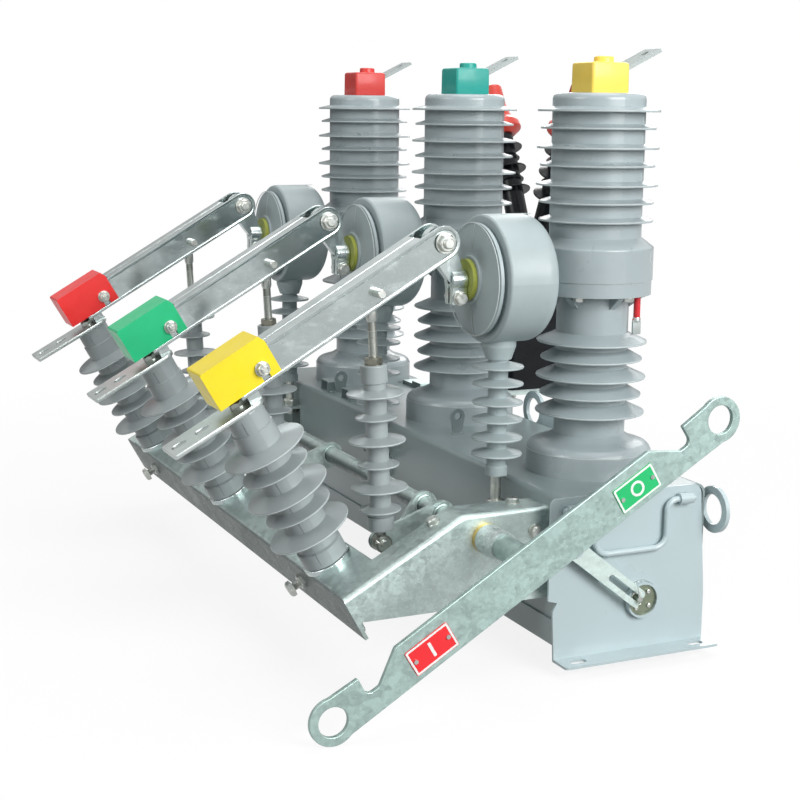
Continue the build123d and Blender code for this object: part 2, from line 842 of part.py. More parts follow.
def clamp_bolt():
    lug = bushing_z - clamp_bolt_drop
    side = clamp_lug_half + seat_gap
    bolt = rod((-side - 11, clamp_middle, lug), (side + 3, clamp_middle, lug), clamp_bolt_radius)
    for sign in (-1, 1):
        washer = sign * (side + 1.8)
        bolt += rod((sign * side, clamp_middle, lug), (washer, clamp_middle, lug), clamp_washer_radius)
        bolt += hexagon((washer, clamp_middle, lug), (washer + sign * 5.3, clamp_middle, lug), 13)
    return bolt


def pivot_bolt():
    """Hinge bolt of a blade with its head, nut and washers."""
    side = blade_outer + seat_gap
    bolt = rod((-side - 7, pivot_y, pivot_z), (side + 12, pivot_y, pivot_z), pivot_radius)
    for sign in (-1, 1):
        inner = sign * side
        washer = inner + sign * 2
        head = inner + sign * 8
        bolt += rod((inner, pivot_y, pivot_z), (washer, pivot_y, pivot_z), 12)
        bolt += hexagon((washer, pivot_y, pivot_z), (head, pivot_y, pivot_z), 18)
    return bolt


# Blades
def blade_bar():
    """One of the two bars, on the +X side: dished outer face, and lips turned in along both straight edges."""
    half = blade_width / 2
    tip = blade_length
    corners = [blade_point(0, half), blade_point(tip, half), blade_point(tip, -half), blade_point(0, -half)]
    bar = slab_x(corners, blade_inner, blade_outer)
    bar += rod((blade_inner, pivot_y, pivot_z), (blade_outer, pivot_y, pivot_z), half)
    for side in (-1, 1):
        outer = side * half
        inner = outer - side * blade_lip_thickness
        lip = [blade_point(0, outer), blade_point(blade_lip_end, outer), blade_point(blade_lip_end, inner),
               blade_point(0, inner)]
        bar += slab_x(lip, blade_inner - blade_lip_reach, blade_inner + blade_dish)
    inset = half - blade_rim
    dish = [blade_point(0, inset), blade_point(tip - blade_rim, inset), blade_point(tip - blade_rim, -inset),
            blade_point(0, -inset)]
    hollow = slab_x(dish, blade_outer - blade_dish, blade_outer + 1)
    hollow += rod((blade_outer - blade_dish, pivot_y, pivot_z), (blade_outer + 1, pivot_y, pivot_z), inset)
    bar -= hollow
    for along, across, radius in ((0, 0, pivot_radius), (pull_pin_along, pull_pin_across, pull_pin_radius),
                                  (cover_bolt_along, 0, cover_bolt_radius)):
        y, z = blade_point(along, across)
        bar -= rod((0, y, z), (2 * blade_outer, y, z), radius + run_gap)
    return bar


def blade_pins():
    """Pull pin through the upper rod eye and the bolt at the cover."""
    y, z = blade_point(pull_pin_along, pull_pin_across)
    side = blade_outer + seat_gap
    pins = rod((-side - 4, y, z), (side + 13, y, z), pull_pin_radius)
    pins += rod((-side - 4, y, z), (-side, y, z), pull_pin_radius + 3)
    y, z = blade_point(cover_bolt_along, 0)
    side = blade_cover_half + seat_gap
    pins += rod((-side - 9, y, z), (side + 11, y, z), cover_bolt_radius)
    for sign in (-1, 1):
        inner = sign * side
        washer = inner + sign * 1.6
        pins += rod((inner, y, z), (washer, y, z), cover_washer_radius)
        pins += hexagon((washer, y, z), (washer + sign * 6.5, y, z), cover_bolt_flats)
    return pins


def blade_cover():
    """Coloured plastic hood over the jaw end of a blade, open below and at the rear."""
    start = blade_cover_start
    end = blade_cover_end
    top = blade_cover_top
    low = blade_cover_bottom
    wall = blade_cover_wall
    skin = [blade_point(start, low), blade_point(start, top - 8), blade_point(start + 4, top),
            blade_point(end, top) + (2.5,), blade_point(end, low)]
    room = [blade_point(start - 30, low - 30), blade_point(start - 30, top - wall),
            blade_point(end - wall, top - wall), blade_point(end - wall, low - 30)]
    hood = slab_x(skin, -blade_cover_half, blade_cover_half) - slab_x(room, -cover_inner, cover_inner)
    half = blade_cover_slot / 2
    slot = [blade_point(cover_bolt_along - half, 0), blade_point(cover_bolt_along + half, 0),
            blade_point(cover_bolt_along + half, low - 5), blade_point(cover_bolt_along - half, low - 5)]
    y, z = blade_point(cover_bolt_along, 0)
    hood -= slab_x(slot, -60, 60)
    return hood - rod((-60, y, z), (60, y, z), half)


# Post insulators and line side
def post_insulator():
    length = post_seat - post_base_height - post_top
    sheds = [post_seat - place for place in reversed(post_shed_places)]
    radii = list(reversed(post_shed_radii))
    corners = [(0, post_base_height), (post_foot_radius, post_base_height),
               (post_foot_radius, post_base_height + 18), (post_core_radius, post_base_height + 20)]
    corners += shed_profile(post_core_radius, post_base_height + 21, post_base_height + length - 24,
                            sheds, radii, post_shed_rise)
    corners += [(post_top_radius, post_base_height + length - 23), (post_top_radius, post_base_height + length, 2),
                (0, post_base_height + length)]
    return turned(corners)


def post_base():
    return turned([(0, 0), (post_base_radius, 0), (post_base_radius, post_base_height - 1, 1.5),
                   (post_base_radius - 4, post_base_height, 1), (0, post_base_height)])


def line_plate():
    """Line terminal plate on top of a post, in the post's own frame with Z = 0 at the jaw level."""
    half = line_plate_width / 2
    plate = slab_z([(-half, -line_plate_tip, 3), (half, -line_plate_tip, 3),
                    (half, line_plate_tail, line_plate_tail_corner),
                    (-half, line_plate_tail, line_plate_tail_corner)], -post_top, line_plate_thickness - post_top)
    for place in line_slot_places:
        slot = extrude(SlotOverall(line_slot_length, line_slot_width, rotation=90), amount=60)
        plate -= moved(slot, 0, -place, -30)
    return plate - moved(Cylinder(jaw_bolt_radius + bolt_gap, 60), 0, -jaw_bolt_place, 0)


def fixed_contact():
    """Contact block that the blade bars close on, standing on the line plate."""
    low = line_plate_thickness - post_top
    half = blade_inner - seat_gap
    return slab_y([(-half, low), (half, low), (half, low + contact_block_height, 2),
                   (-half, low + contact_block_height, 2)], -contact_block_front, contact_block_rear)


def jaw_bolt():
    top = line_plate_thickness - post_top
    place = (0, -jaw_bolt_place)
    bolt = rod((*place, -post_top + seat_gap), (*place, top + 9.5), jaw_bolt_radius)
    bolt += rod((*place, top), (*place, top + 1.5), jaw_washer_radius)
    return bolt + hexagon((*place, top + 1.5), (*place, top + 7.5), jaw_bolt_flats)


def on_posts(shape, down):
    """Copies of a shape, one in each post's frame."""
    group = Part()
    for x in pole_places:
        group += post_place(x, down) * shape
    return group


# Disconnector frame
def frame_point(rearward, down):
    """(y, z) in the frame's channel: rearward up its sloping top, and square down from it."""
    lean = radians(post_lean)
    y = frame_fold_y + rearward * cos(lean) + down * sin(lean)
    z = frame_fold_z + rearward * sin(lean) - down * cos(lean)
    return y, z


def disconnector_frame():
    """Welded frame: a sloping channel in front and a flanged side arm at each end."""
    half = frame_half_length
    t = frame_sheet
    width = frame_top_width
    channel = [frame_point(0, 0) + (5,), frame_point(width, 0) + (5,), frame_point(width, 22), frame_point(width - t, 22),
               frame_point(width - t, t), frame_point(t, t), frame_point(t, frame_front_height),
               frame_point(0, frame_front_height)]
    frame = slab_x(channel, -half, half)
    bend_y = frame_fold_y + (frame_arm_top - frame_fold_z) / tan(radians(post_lean))
    drop = (frame_fold_z - frame_arm_bottom) / cos(radians(post_lean))
    arm = [frame_point(1, 0), (bend_y, frame_arm_top, 30), (tank_front, frame_arm_top),
           (tank_front, frame_arm_bottom), frame_point(0, drop)]
    flange_end = frame_point(0, t)
    flange = [frame_point(1, 0), (bend_y, frame_arm_top, 30), (tank_front, frame_arm_top),
              (tank_front, frame_arm_top - t), (bend_y + t * 0.26, frame_arm_top - t, 26), flange_end]
    for side in (-1, 1):
        outer = side * half
        inner = side * (half - t)
        rim = side * (half - frame_arm_flange)
        frame += slab_x(arm, min(outer, inner), max(outer, inner))
        frame += slab_x(flange, min(outer, rim), max(outer, rim))
        foot = side * (half - frame_lap)
        frame += box((min(outer, foot), tank_front - t, frame_arm_bottom),
                     (max(outer, foot), tank_front, frame_arm_top - t))
    bends = [edge for edge in frame.edges() if is_side_bend(edge)]
    frame = fillet(bends, frame_bend)
    frame -= bush_holes()
    frame -= frame_bolts(bolt_gap)
    for x in pole_places:
        frame -= post_place(x, post_seat) * Cylinder(6 + bolt_gap, 12 * t)
    return frame


def is_side_bend(edge):
    """Whether an edge is where a side arm's wall meets its top flange, outside."""
    ends = edge.vertices()
    if any(abs(abs(end.X) - frame_half_length) > 0.01 for end in ends) or edge.length < frame_arm_flange:
        return False
    middle = edge @ 0.5
    slope_top = frame_fold_z + (middle.Y - frame_fold_y) * tan(radians(post_lean))
    return abs(middle.Z - min(slope_top, frame_arm_top)) < 0.1


def bush_holes():
    span = 2 * frame_half_length
    return rod((-span, shaft_y, shaft_z), (span, shaft_y, shaft_z), bush_spigot_radius + run_gap)


def frame_bolts(extra=0.0):
    """Hexagon bolts on the frame: two in each arm's top flange, one on each arm, two on the front."""
    lean = radians(post_lean)
    bolts = Part()
    for side in (-1, 1):
        x = side * (frame_half_length - frame_arm_flange * 0.7)
        y, z = frame_point(frame_slope_bolt_place, 0)
        wall = (side * frame_half_length, tank_front - frame_side_bolt_reach, frame_side_bolt_level)
        places = [((x, tank_front - frame_rear_bolt_reach, frame_arm_top), (0, 0, -1)),
                  ((x, y, z), (0, sin(lean), -cos(lean))), (wall, (-side, 0, 0))]
        for place, heading in places:
            bolts += headed_bolt(place, heading, frame_bolt_radius, frame_bolt_flats, 0, extra)
    for x in frame_front_bolts:
        y, z = frame_point(0, frame_front_bolt_place)
        bolts += headed_bolt((x, y, z), (0, cos(lean), sin(lean)), frame_front_bolt_radius, frame_front_bolt_flats,
                             frame_front_bolt_reach, extra)
    return bolts


def headed_bolt(place, heading, radius, flats, reach, extra):
    """Bolt into the frame's sheet, its head standing off by reach, or the hole for it."""
    face = Vector(*place)
    into = Vector(*heading)
    seat = face - into * reach
    shank = rod(tuple(seat - into), tuple(face + into * 2 * frame_sheet), radius + extra)
    if extra > 0:
        return shank
    return shank + hexagon(tuple(seat - into * frame_bolt_head), tuple(seat), flats)


def frame_bushes():
    """Brass bushes of the disconnector shaft in both side arms."""
    bushes = Part()
    for side in (-1, 1):
        face = side * frame_half_length
        bush = rod((face, shaft_y, shaft_z), (face + side * bush_flange, shaft_y, shaft_z), bush_radius)
        bush += rod((face - side * (frame_sheet + 3), shaft_y, shaft_z), (face + side, shaft_y, shaft_z),
                    bush_spigot_radius)
        bushes += bush - shaft_bore(run_gap)
    return bushes


def shaft_bore(extra):
    return rod((2 * shaft_far_end, shaft_y, shaft_z), (2 * lever_face, shaft_y, shaft_z), shaft_radius + extra)


# Disconnector shaft and lever
def disconnector_shaft():
    """Shaft with one crank welded on for each pole and a stop arm."""
    shaft = rod((shaft_far_end, shaft_y, shaft_z), (lever_face - lever_thickness, shaft_y, shaft_z), shaft_radius)
    for x in pole_places:
        low = x + crank_offset - crank_thickness / 2
        shaft += hull_plate((shaft_y, shaft_z), (crank_pin_y, crank_pin_z), crank_hub_radius, crank_eye_radius,
                            low, low + crank_thickness)
    turn = radians(stop_arm_angle)
    stop = (shaft_y + stop_arm_length * cos(turn), shaft_z + stop_arm_length * sin(turn))
    low = pole_pitch + stop_arm_offset - crank_thickness / 2
    shaft += hull_plate((shaft_y, shaft_z), stop, crank_hub_radius, stop_arm_eye, low, low + crank_thickness)
    for pin in crank_pin_places():
        shaft -= rod((pin - 20, crank_pin_y, crank_pin_z), (pin, crank_pin_y, crank_pin_z), crank_pin_radius + run_gap)
    return shaft


def crank_pin_places():
    return [x + crank_offset + crank_thickness / 2 + 1 for x in pole_places]


def crank_pins():
    """Pins that carry the lower rod eyes on the cranks."""
    pins = Part()
    for x in pole_places:
        low = x + crank_offset - crank_thickness / 2 - seat_gap
        high = x + pull_eye_thickness / 2 + seat_gap
        pins += rod((low - 3, crank_pin_y, crank_pin_z), (high + 6, crank_pin_y, crank_pin_z), crank_pin_radius)
        pins += rod((low - 3, crank_pin_y, crank_pin_z), (low, crank_pin_y, crank_pin_z), crank_pin_radius + 2.5)
        pins += rod((high, crank_pin_y, crank_pin_z), (high + 2, crank_pin_y, crank_pin_z), crank_pin_radius + 3)
    return pins


def shaft_collars():
    """Set collars outside both bushes."""
    collars = Part()
    for side, length in ((1, shaft_collar_length), (-1, 14.0)):
        start = side * (frame_half_length + bush_flange + seat_gap)
        end = start + side * length
        collar = rod((start, shaft_y, shaft_z), (end, shaft_y, shaft_z), shaft_collar_radius)
        middle = (start + end) / 2
        screw = rod((middle, shaft_y, shaft_z), (middle, shaft_y, shaft_z + 40), set_screw_radius)
        collars += collar - screw - shaft_bore(run_gap)
    return collars


def hand_lever():
    """Flat bar with a ring and a hook at both ends, welded to its sleeve on the shaft."""
    low = lever_face - lever_thickness
    bar = half_lever(1, low) + half_lever(-1, low)
    sleeve_start = frame_half_length + bush_flange + seat_gap + shaft_collar_length + seat_gap
    sleeve = rod((sleeve_start, shaft_y, shaft_z), (low + 1, shaft_y, shaft_z), sleeve_radius)
    sleeve -= rod((sleeve_start - 1, shaft_y, shaft_z), (low, shaft_y, shaft_z), shaft_radius + run_gap)
    screw_x = (sleeve_start + low) / 2
    sleeve -= rod((screw_x, shaft_y, shaft_z), (screw_x, shaft_y, shaft_z + 40), set_screw_radius)
    return bar + sleeve


def half_lever(side, low):
    """One half of the lever's bar, from the shaft to a ring, with the hook in its upper edge."""
    half = lever_half_width
    reach = lever_half_span
    corners = [(0, half), (side * lever_hook_mouth, half, 6), (side * lever_hook_floor, half - lever_hook_depth, 5),
               (side * (lever_hook_place + 1), half - lever_hook_depth, 7),
               (side * lever_hook_place, half - 2, 1.5), (side * reach, half), (side * reach, -half), (0, -half)]
    bar = slab_x([lever_point(*corner[:2]) + corner[2:] for corner in corners], low, lever_face)
    y, z = lever_point(side * reach, 0)
    bar += rod((low, y, z), (lever_face, y, z), lever_ring_radius)
    return bar - rod((low - 1, y, z), (lever_face + 1, y, z), lever_hole_radius)


def label_plate(side):
    """Small coloured plate on the lever, bare, with a rim."""
    half_u = label_length / 2
    half_v = label_width / 2
    middle = side * label_place
    corners = []
    for along, across in ((-half_u, -half_v), (half_u, -half_v), (half_u, half_v), (-half_u, half_v)):
        corners.append(lever_point(middle + along, label_drop + across))
    plate = slab_x([corner + (1.5,) for corner in corners], lever_face, lever_face + label_thickness)
    for place in rivet_places(side):
        plate -= rod((lever_face - 1, *place), (lever_face + 5, *place), label_rivet_radius / 2 + run_gap)
    return plate


def rivet_places(side):
    half = label_rivet_spacing / 2
    return [lever_point(side * label_place + along, label_drop) for along in (-half, half)]


def label_rivets():
    rivets = Part()
    top = lever_face + label_thickness
    for side in (-1, 1):
        for place in rivet_places(side):
            rivets += rod((lever_face, *place), (top + 0.5, *place), label_rivet_radius / 2)
            rivets += rod((top, *place), (top + label_rivet_height, *place), label_rivet_radius)
    return rivets


# Pull rods
def pull_place(x):
    """Frame on the crank pin with Z along the rod towards the blade."""
    y, z = blade_point(pull_pin_along, pull_pin_across)
    return Plane(origin=(x, crank_pin_y, crank_pin_z), x_dir=(1, 0, 0), z_dir=(0, y - crank_pin_y, z - crank_pin_z))


def pull_length():
    y, z = blade_point(pull_pin_along, pull_pin_across)
    return hypot(y - crank_pin_y, z - crank_pin_z)


def pull_insulator():
    corners = [(0, pull_body_start), (pull_end_radius, pull_body_start, 1.5), (pull_end_radius, pull_body_start + 16)]
    corners += shed_profile(pull_core_radius, pull_body_start + 17, pull_body_end - 21,
                            pull_shed_places, pull_shed_radii, pull_shed_rise)
    corners += [(pull_end_radius, pull_body_end - 20), (pull_end_radius, pull_body_end, 1.5), (0, pull_body_end)]
    body = turned(corners)
    for low, high in ((pull_body_start - 1, pull_body_start + 14), (pull_body_end - 14, pull_body_end + 1)):
        body -= rod((0, 0, low), (0, 0, high), pull_rod_radius + run_gap)
    return body


def pull_ends():
    """Lower and upper metal eyes screwed into the insulator, the upper one with its lock nut."""
    half = pull_eye_thickness / 2
    top = pull_length()
    lower = rod((-half, 0, 0), (half, 0, 0), pull_lower_eye_radius)
    lower += rod((0, 0, 0), (0, 0, pull_body_start + 13), pull_rod_radius)
    lower -= rod((-20, 0, 0), (20, 0, 0), crank_pin_radius + run_gap)
    upper = rod((-half, 0, top), (half, 0, top), pull_upper_eye_radius)
    upper += rod((0, 0, pull_body_end - 13), (0, 0, top), pull_rod_radius)
    nut_low = pull_body_end + seat_gap
    upper += hexagon((0, 0, nut_low), (0, 0, nut_low + 8), pull_nut_flats)
    upper -= rod((-20, 0, top), (20, 0, top), pull_pin_radius + pull_upper_play)
    return lower + upper


# Interlock
def interlock_ring():
    place = (interlock_y, interlock_z)
    ring = rod((end_face, *place), (end_face + interlock_ring_height, *place), interlock_ring_radius)
    inner = interlock_disc_radius + seat_gap
    return ring - rod((end_face - 1, *place), (end_face + interlock_ring_height + 1, *place), inner)


def interlock_disc():
    """Turning disc with its shaft through the end plate, the off-centre pin and three screw heads."""
    place = (interlock_y, interlock_z)
    back = end_face + seat_gap
    face = back + interlock_disc_thickness
    disc = rod((back, *place), (face, *place), interlock_disc_radius)
    disc += rod((tank_half_length - 17, *place), (back + 1, *place), interlock_shaft_radius)
    pin = (interlock_pin_y, interlock_pin_z)
    disc += rod((face - 1, *pin), (fork_low + fork_thickness + 4, *pin), interlock_pin_radius)
    heading = atan2(interlock_pin_z - interlock_z, interlock_pin_y - interlock_y)
    for turn in (75, 165, 255):
        y = interlock_y + 12 * cos(heading + radians(turn))
        z = interlock_z + 12 * sin(heading + radians(turn))
        disc += rod((face - 1, y, z), (face + 1.6, y, z), 2.4)
    return disc


def interlock_fork():
    """Slotted plate on its stud, embracing the disc's pin with its open end."""
    dy = interlock_pin_y - interlock_fork_y
    dz = interlock_pin_z - interlock_fork_z
    heading = atan2(dz, dy)
    length = hypot(dy, dz) + interlock_pin_radius + 3
    half = fork_width / 2
    gap = interlock_pin_radius + fork_slot_clearance
    tip = half - gap - 1

    def on_fork(along, across):
        y = interlock_fork_y + along * cos(heading) - across * sin(heading)
        z = interlock_fork_z + along * sin(heading) + across * cos(heading)
        return y, z

    corners = [on_fork(-10, half) + (6,), on_fork(length, half) + (min(5, tip),), on_fork(length, -half) + (min(5, tip),),
               on_fork(-10, -half) + (6,)]
    high = fork_low + fork_thickness
    plate = slab_x(corners, fork_low, high)
    start = length - fork_slot_length
    slot = [on_fork(start, gap), on_fork(length + 5, gap), on_fork(length + 5, -gap), on_fork(start, -gap)]
    plate -= slab_x(slot, fork_low - 1, high + 1)
    plate -= rod((fork_low - 1, *on_fork(start, 0)), (high + 1, *on_fork(start, 0)), gap)
    centre = (interlock_fork_y, interlock_fork_z)
    return plate - rod((fork_low - 1, *centre), (high + 1, *centre), fork_stud_radius + run_gap)


def lifting_handle():
    """Bent round rod that hangs from two sleeves and swings up to lift the breaker."""
    x = end_face + handle_standoff
    near = handle_near_leg
    far = handle_far_leg
    points = [(near + handle_end, handle_axis_z), (near, handle_axis_z), (near, handle_low_z), (far, handle_low_z),
              (far, handle_axis_z), (far - handle_end - 5, handle_axis_z)]
    bends = [handle_top_bend, handle_low_bend, handle_low_bend, handle_top_bend]
    path = FilletPolyline(*[(x, y, z) for y, z in points], radius=bends)
    start = Plane(origin=(x, *points[0]), z_dir=(0, -1, 0))
    return sweep(start * Circle(handle_radius), path=path)


def charging_lever():
    """Two-ringed lever on the rear wall."""
    angle = radians(charging_angle)
    low = tank_rear + charging_boss_height + seat_gap
    high = low + charging_thickness

    def on_lever(along, across):
        return charging_x + along * cos(angle) - across * sin(angle), charging_z + along * sin(angle) + across * cos(angle)

    half = charging_half_width
    span = charging_half_span
    corners = [on_lever(-span, half), on_lever(span, half), on_lever(span, -half), on_lever(-span, -half)]
    bar = slab_y(corners, low, high)
    hub_x, hub_z = on_lever(0, 0)
    bar += rod((hub_x, low, hub_z), (hub_x, high, hub_z), charging_half_width + 5)
    for side in (-1, 1):
        x, z = on_lever(side * span, 0)
        bar += rod((x, low, z), (x, high, z), charging_ring_radius)
        bar -= rod((x, low - 1, z), (x, high + 1, z), charging_hole_radius)
    return bar - rod((hub_x, low - 1, hub_z), (hub_x, high + 1, hub_z), charging_stud_radius + run_gap)


# Voltage transformer
def vt_place(side):
    """Frame at the meeting point of the two bushings, with Z up one of them."""
    lean = radians(vt_lean)
    return Plane(origin=(vt_x, vt_y, vt_apex_z), x_dir=(cos(lean), 0, -side * sin(lean)), z_dir=(side * sin(lean), 0, cos(lean)))


def vt_body():
    """Cast body with two shed bushings in a V."""
    corners = [(vt_x - vt_half_x, vt_bottom), (vt_x + vt_half_x, vt_bottom), (vt_x + vt_half_x, vt_shoulder, vt_edge),
               (vt_x + vt_crown_half, vt_crown, vt_edge), (vt_x - vt_crown_half, vt_crown, vt_edge),
               (vt_x - vt_half_x, vt_shoulder, vt_edge)]
    body = slab_y(corners, vt_y - vt_half_y, vt_y + vt_half_y)
    upright = [edge for edge in body.edges().filter_by(Axis.Z) if edge.length > vt_edge]
    body = fillet(upright, vt_edge)
    profile = [(0, 40)]
    profile += shed_profile(vt_core_radius, 40, vt_core_end, vt_shed_places, vt_shed_radii, vt_shed_rise)
    profile += [(0, vt_core_end)]
    bushing = turned(profile)
    for side in (-1, 1):
        body += vt_place(side) * bushing
    return body


def vt_caps():
    """Red insulating caps pulled over the two terminals."""
    low = vt_core_end + seat_gap
    top = low + vt_cap_length
    corners = [(0, low), (vt_core_radius + 4, low), (vt_cap_skirt, low + 9, 4), (vt_cap_skirt - 2, low + 20, 5),
               (vt_cap_neck, low + 28, 4), (vt_cap_knob + 2, low + 52, 6), (vt_cap_knob, top, 4), (0, top)]
    cap = turned(corners)
    return vt_place(-1) * cap + vt_place(1) * cap


def vt_bracket():
    """Two bars from the tank's roof out behind it, joined by a cross bar."""
    half = vt_bar_width / 2
    rear = vt_y + vt_half_y
    low = vt_bottom - vt_bar_height
    frame = Part()
    for side in (-0.5, 0.5):
        x = vt_x + side * vt_bar_spacing
        frame += box((x - half, vt_bar_front, low), (x + half, rear, vt_bottom))
    frame += box((vt_cross_x[0], vt_bar_front, low), (vt_cross_x[1], vt_bar_front + vt_cross_width, low + 6))
    frame += box((vt_x - vt_bar_spacing / 2, rear - 12, low), (vt_x + vt_bar_spacing / 2, rear, low + 6))
    return frame


# Pieces on top of the columns and the tank
def top_plate():
    """Upper line terminal: a bent flat bar clamped on the stem."""
    level = column_top + seat_gap + top_nut_height + top_spacer_height
    t = top_plate_thickness
    rise = radians(top_plate_rise)
    bend = top_plate_bend
    reach = (top_plate_end - bend) / cos(rise)
    tip = (bend + reach * cos(rise), level + reach * sin(rise))
    side = [(-bend, level), (bend, level), tip, (tip[0] - t * sin(rise), tip[1] + t * cos(rise)),
            (bend - t * tan(rise / 2), level + t), (-bend, level + t)]
    half = top_plate_width / 2
    plate = slab_x(side, -half, half) - moved(Cylinder(stem_radius + bolt_gap, 2 * column_bore), 0, 0, level)
    inset = reach - top_plate_hole_inset
    hole_at = (0, bend + inset * cos(rise), level + inset * sin(rise))
    normal = (0, -sin(rise), cos(rise))
    return plate - Plane(origin=hole_at, z_dir=normal) * Cylinder(top_plate_hole, column_bore)


def top_nut():
    """Nut and spacer collar on the stem, under the plate."""
    low = column_top + seat_gap
    nut = hexagon((0, 0, low), (0, 0, low + top_nut_height), top_nut_flats)
    nut += rod((0, 0, low + top_nut_height), (0, 0, low + top_nut_height + top_spacer_height), top_spacer_radius)
    return nut - moved(Cylinder(stem_radius + run_gap, 2 * column_bore), 0, 0, low)


def top_cover():
    """Coloured hood over the top terminal, open below and with a gap for the plate at the rear."""
    half_x = top_cover_x / 2
    half_y = top_cover_y / 2
    low = column_top + seat_gap
    high = low + top_cover_height
    wall = top_cover_wall
    hood = slab_z([(-half_x, -half_y, 4), (half_x, -half_y, 4), (half_x, half_y, 4), (-half_x, half_y, 4)], low, high)
    knob_x = top_knob_x / 2
    knob_y = top_knob_y / 2
    hood += slab_z([(-knob_x, top_knob_place - knob_y, 4), (knob_x, top_knob_place - knob_y, 4),
                    (knob_x, top_knob_place + knob_y, 4), (-knob_x, top_knob_place + knob_y, 4)],
                   high - 1, high + top_knob_height)
    hood -= box((-half_x + wall, -half_y + wall, low - 1), (half_x - wall, half_y - wall, high - wall))
    gap = top_plate_width / 2 + 2
    mouth = low + top_nut_height + top_spacer_height - 2
    return hood - box((-gap, half_y - wall - 1, mouth), (gap, half_y + 1, high - wall))


def voltage_lead():
    """Sleeved cable lug under the near collar."""
    collar = tank_top + collar_bottom
    lead_x = pole_pitch + lead_offset_x
    lead_y = lead_offset_y
    sleeve = rod((lead_x, lead_y, collar - 30), (lead_x, lead_y, collar), 4)
    lug = slab_x([(lead_y - 5, collar - 46, 4), (lead_y + 5, collar - 46, 4), (lead_y + 5, collar - 28),
                  (lead_y - 5, collar - 28)], lead_x - 1.2, lead_x + 1.2)
    return sleeve + lug


def tank_fittings():
    """Two small lugs and two sockets of square tube welded on the tank's roof."""
    fittings = Part()
    for x, y in tank_lug_places:
        centre = (y, tank_top + tank_lug_height - tank_lug_radius - 3)
        lug = hull_plate(centre, (y, tank_top + tank_lug_radius), tank_lug_radius + 3, tank_lug_radius, x - 2, x + 2)
        lug -= rod((x - 5, *centre), (x + 5, *centre), tank_lug_radius - 2)
        fittings += lug - box((x - 10, y - 20, tank_top - 20), (x + 10, y + 20, tank_top))
    half = tank_socket_width / 2
    rear = tank_socket_front + tank_socket_length
    low = tank_top + tank_socket_wall
    high = tank_top + tank_socket_height
    for x in tank_socket_places:
        fittings += slab_y([(x - half, tank_top), (x + half, tank_top), (x + half, high, 4), (x - half, high, 4)],
                           tank_socket_front, rear)
        fittings -= box((x - half + tank_socket_wall, tank_socket_front - 1, low),
                        (x + half - tank_socket_wall, rear + 1, high - tank_socket_wall))
    return fittings


# Nodes
def on_poles(shape):
    group = Part()
    for x in pole_places:
        group += moved(shape, x)
    return group


write("tank", tank())
write("end_plate_near", end_plate(1))
write("end_plate_far", end_plate(-1))
write("bottom_cover", bottom_cover())
write("shaft_bearings", shaft_bearings())
write("main_shaft", main_shaft())

contact, drive = contact_rod()
pull = pull_insulator()
ends = pull_ends()
bar = blade_bar()
bars = bar + mirror(bar, about=Plane.YZ)
hood = blade_cover()
pins = blade_pins()
cap = top_cover()
for name, x in zip(pole_names, pole_places):
    write(f"contact_rod_{name}", moved(contact + drive, x))
    write(f"top_cover_{name}", moved(cap, x))
    write(f"blade_{name}", moved(bars + pins, x))
    write(f"blade_cover_{name}", moved(hood, x))
    write(f"pull_insulator_{name}", pull_place(x) * pull)
    write(f"pull_eyes_{name}", pull_place(x) * ends)

write("lower_insulators", on_poles(lower_insulator()))
write("upper_insulators", on_poles(upper_insulator()))
write("ct_bushings", on_poles(ct_bushing()))
write("flange_bolts", on_poles(flange_bolts()))
write("conductors", on_poles(conductor()))
write("interrupters", on_poles(interrupter()))
write("top_terminals", on_poles(top_plate() + top_nut()))
write("bushing_gaskets", on_poles(gasket()))
write("leg_rods", on_poles(leg_rod()))
write("leg_brackets", on_poles(leg_bracket()))
write("hinge_clamps", on_poles(hinge_clamp()))

write("post_insulators", on_posts(post_insulator(), post_seat))
write("post_bases", on_posts(post_base(), post_seat))
write("line_terminals", on_posts(line_plate(), 0))
write("fixed_contacts", on_posts(fixed_contact(), 0))
write("disconnector_bolts", on_poles(pivot_bolt() + clamp_bolt()) + on_posts(jaw_bolt(), 0))

write("disconnector_frame", disconnector_frame())
write("frame_bolts", frame_bolts())
write("frame_bushes", frame_bushes())
write("disconnector_shaft", disconnector_shaft())
write("crank_pins", crank_pins())
write("shaft_collars", shaft_collars())
write("hand_lever", hand_lever())
write("open_label", label_plate(1))
write("close_label", label_plate(-1))
write("label_rivets", label_rivets())

write("interlock_ring", interlock_ring())
write("interlock_disc", interlock_disc())
write("interlock_fork", interlock_fork())
write("lifting_handle", lifting_handle())
write("charging_lever", charging_lever())

write("vt_body", vt_body())
write("vt_caps", vt_caps())
write("vt_bracket", vt_bracket())
write("voltage_lead", voltage_lead())
write("tank_fittings", tank_fittings())
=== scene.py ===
from math import atan2, cos, hypot, pi, radians, sin, sqrt, tan

import bpy
from mathutils import Matrix, Vector


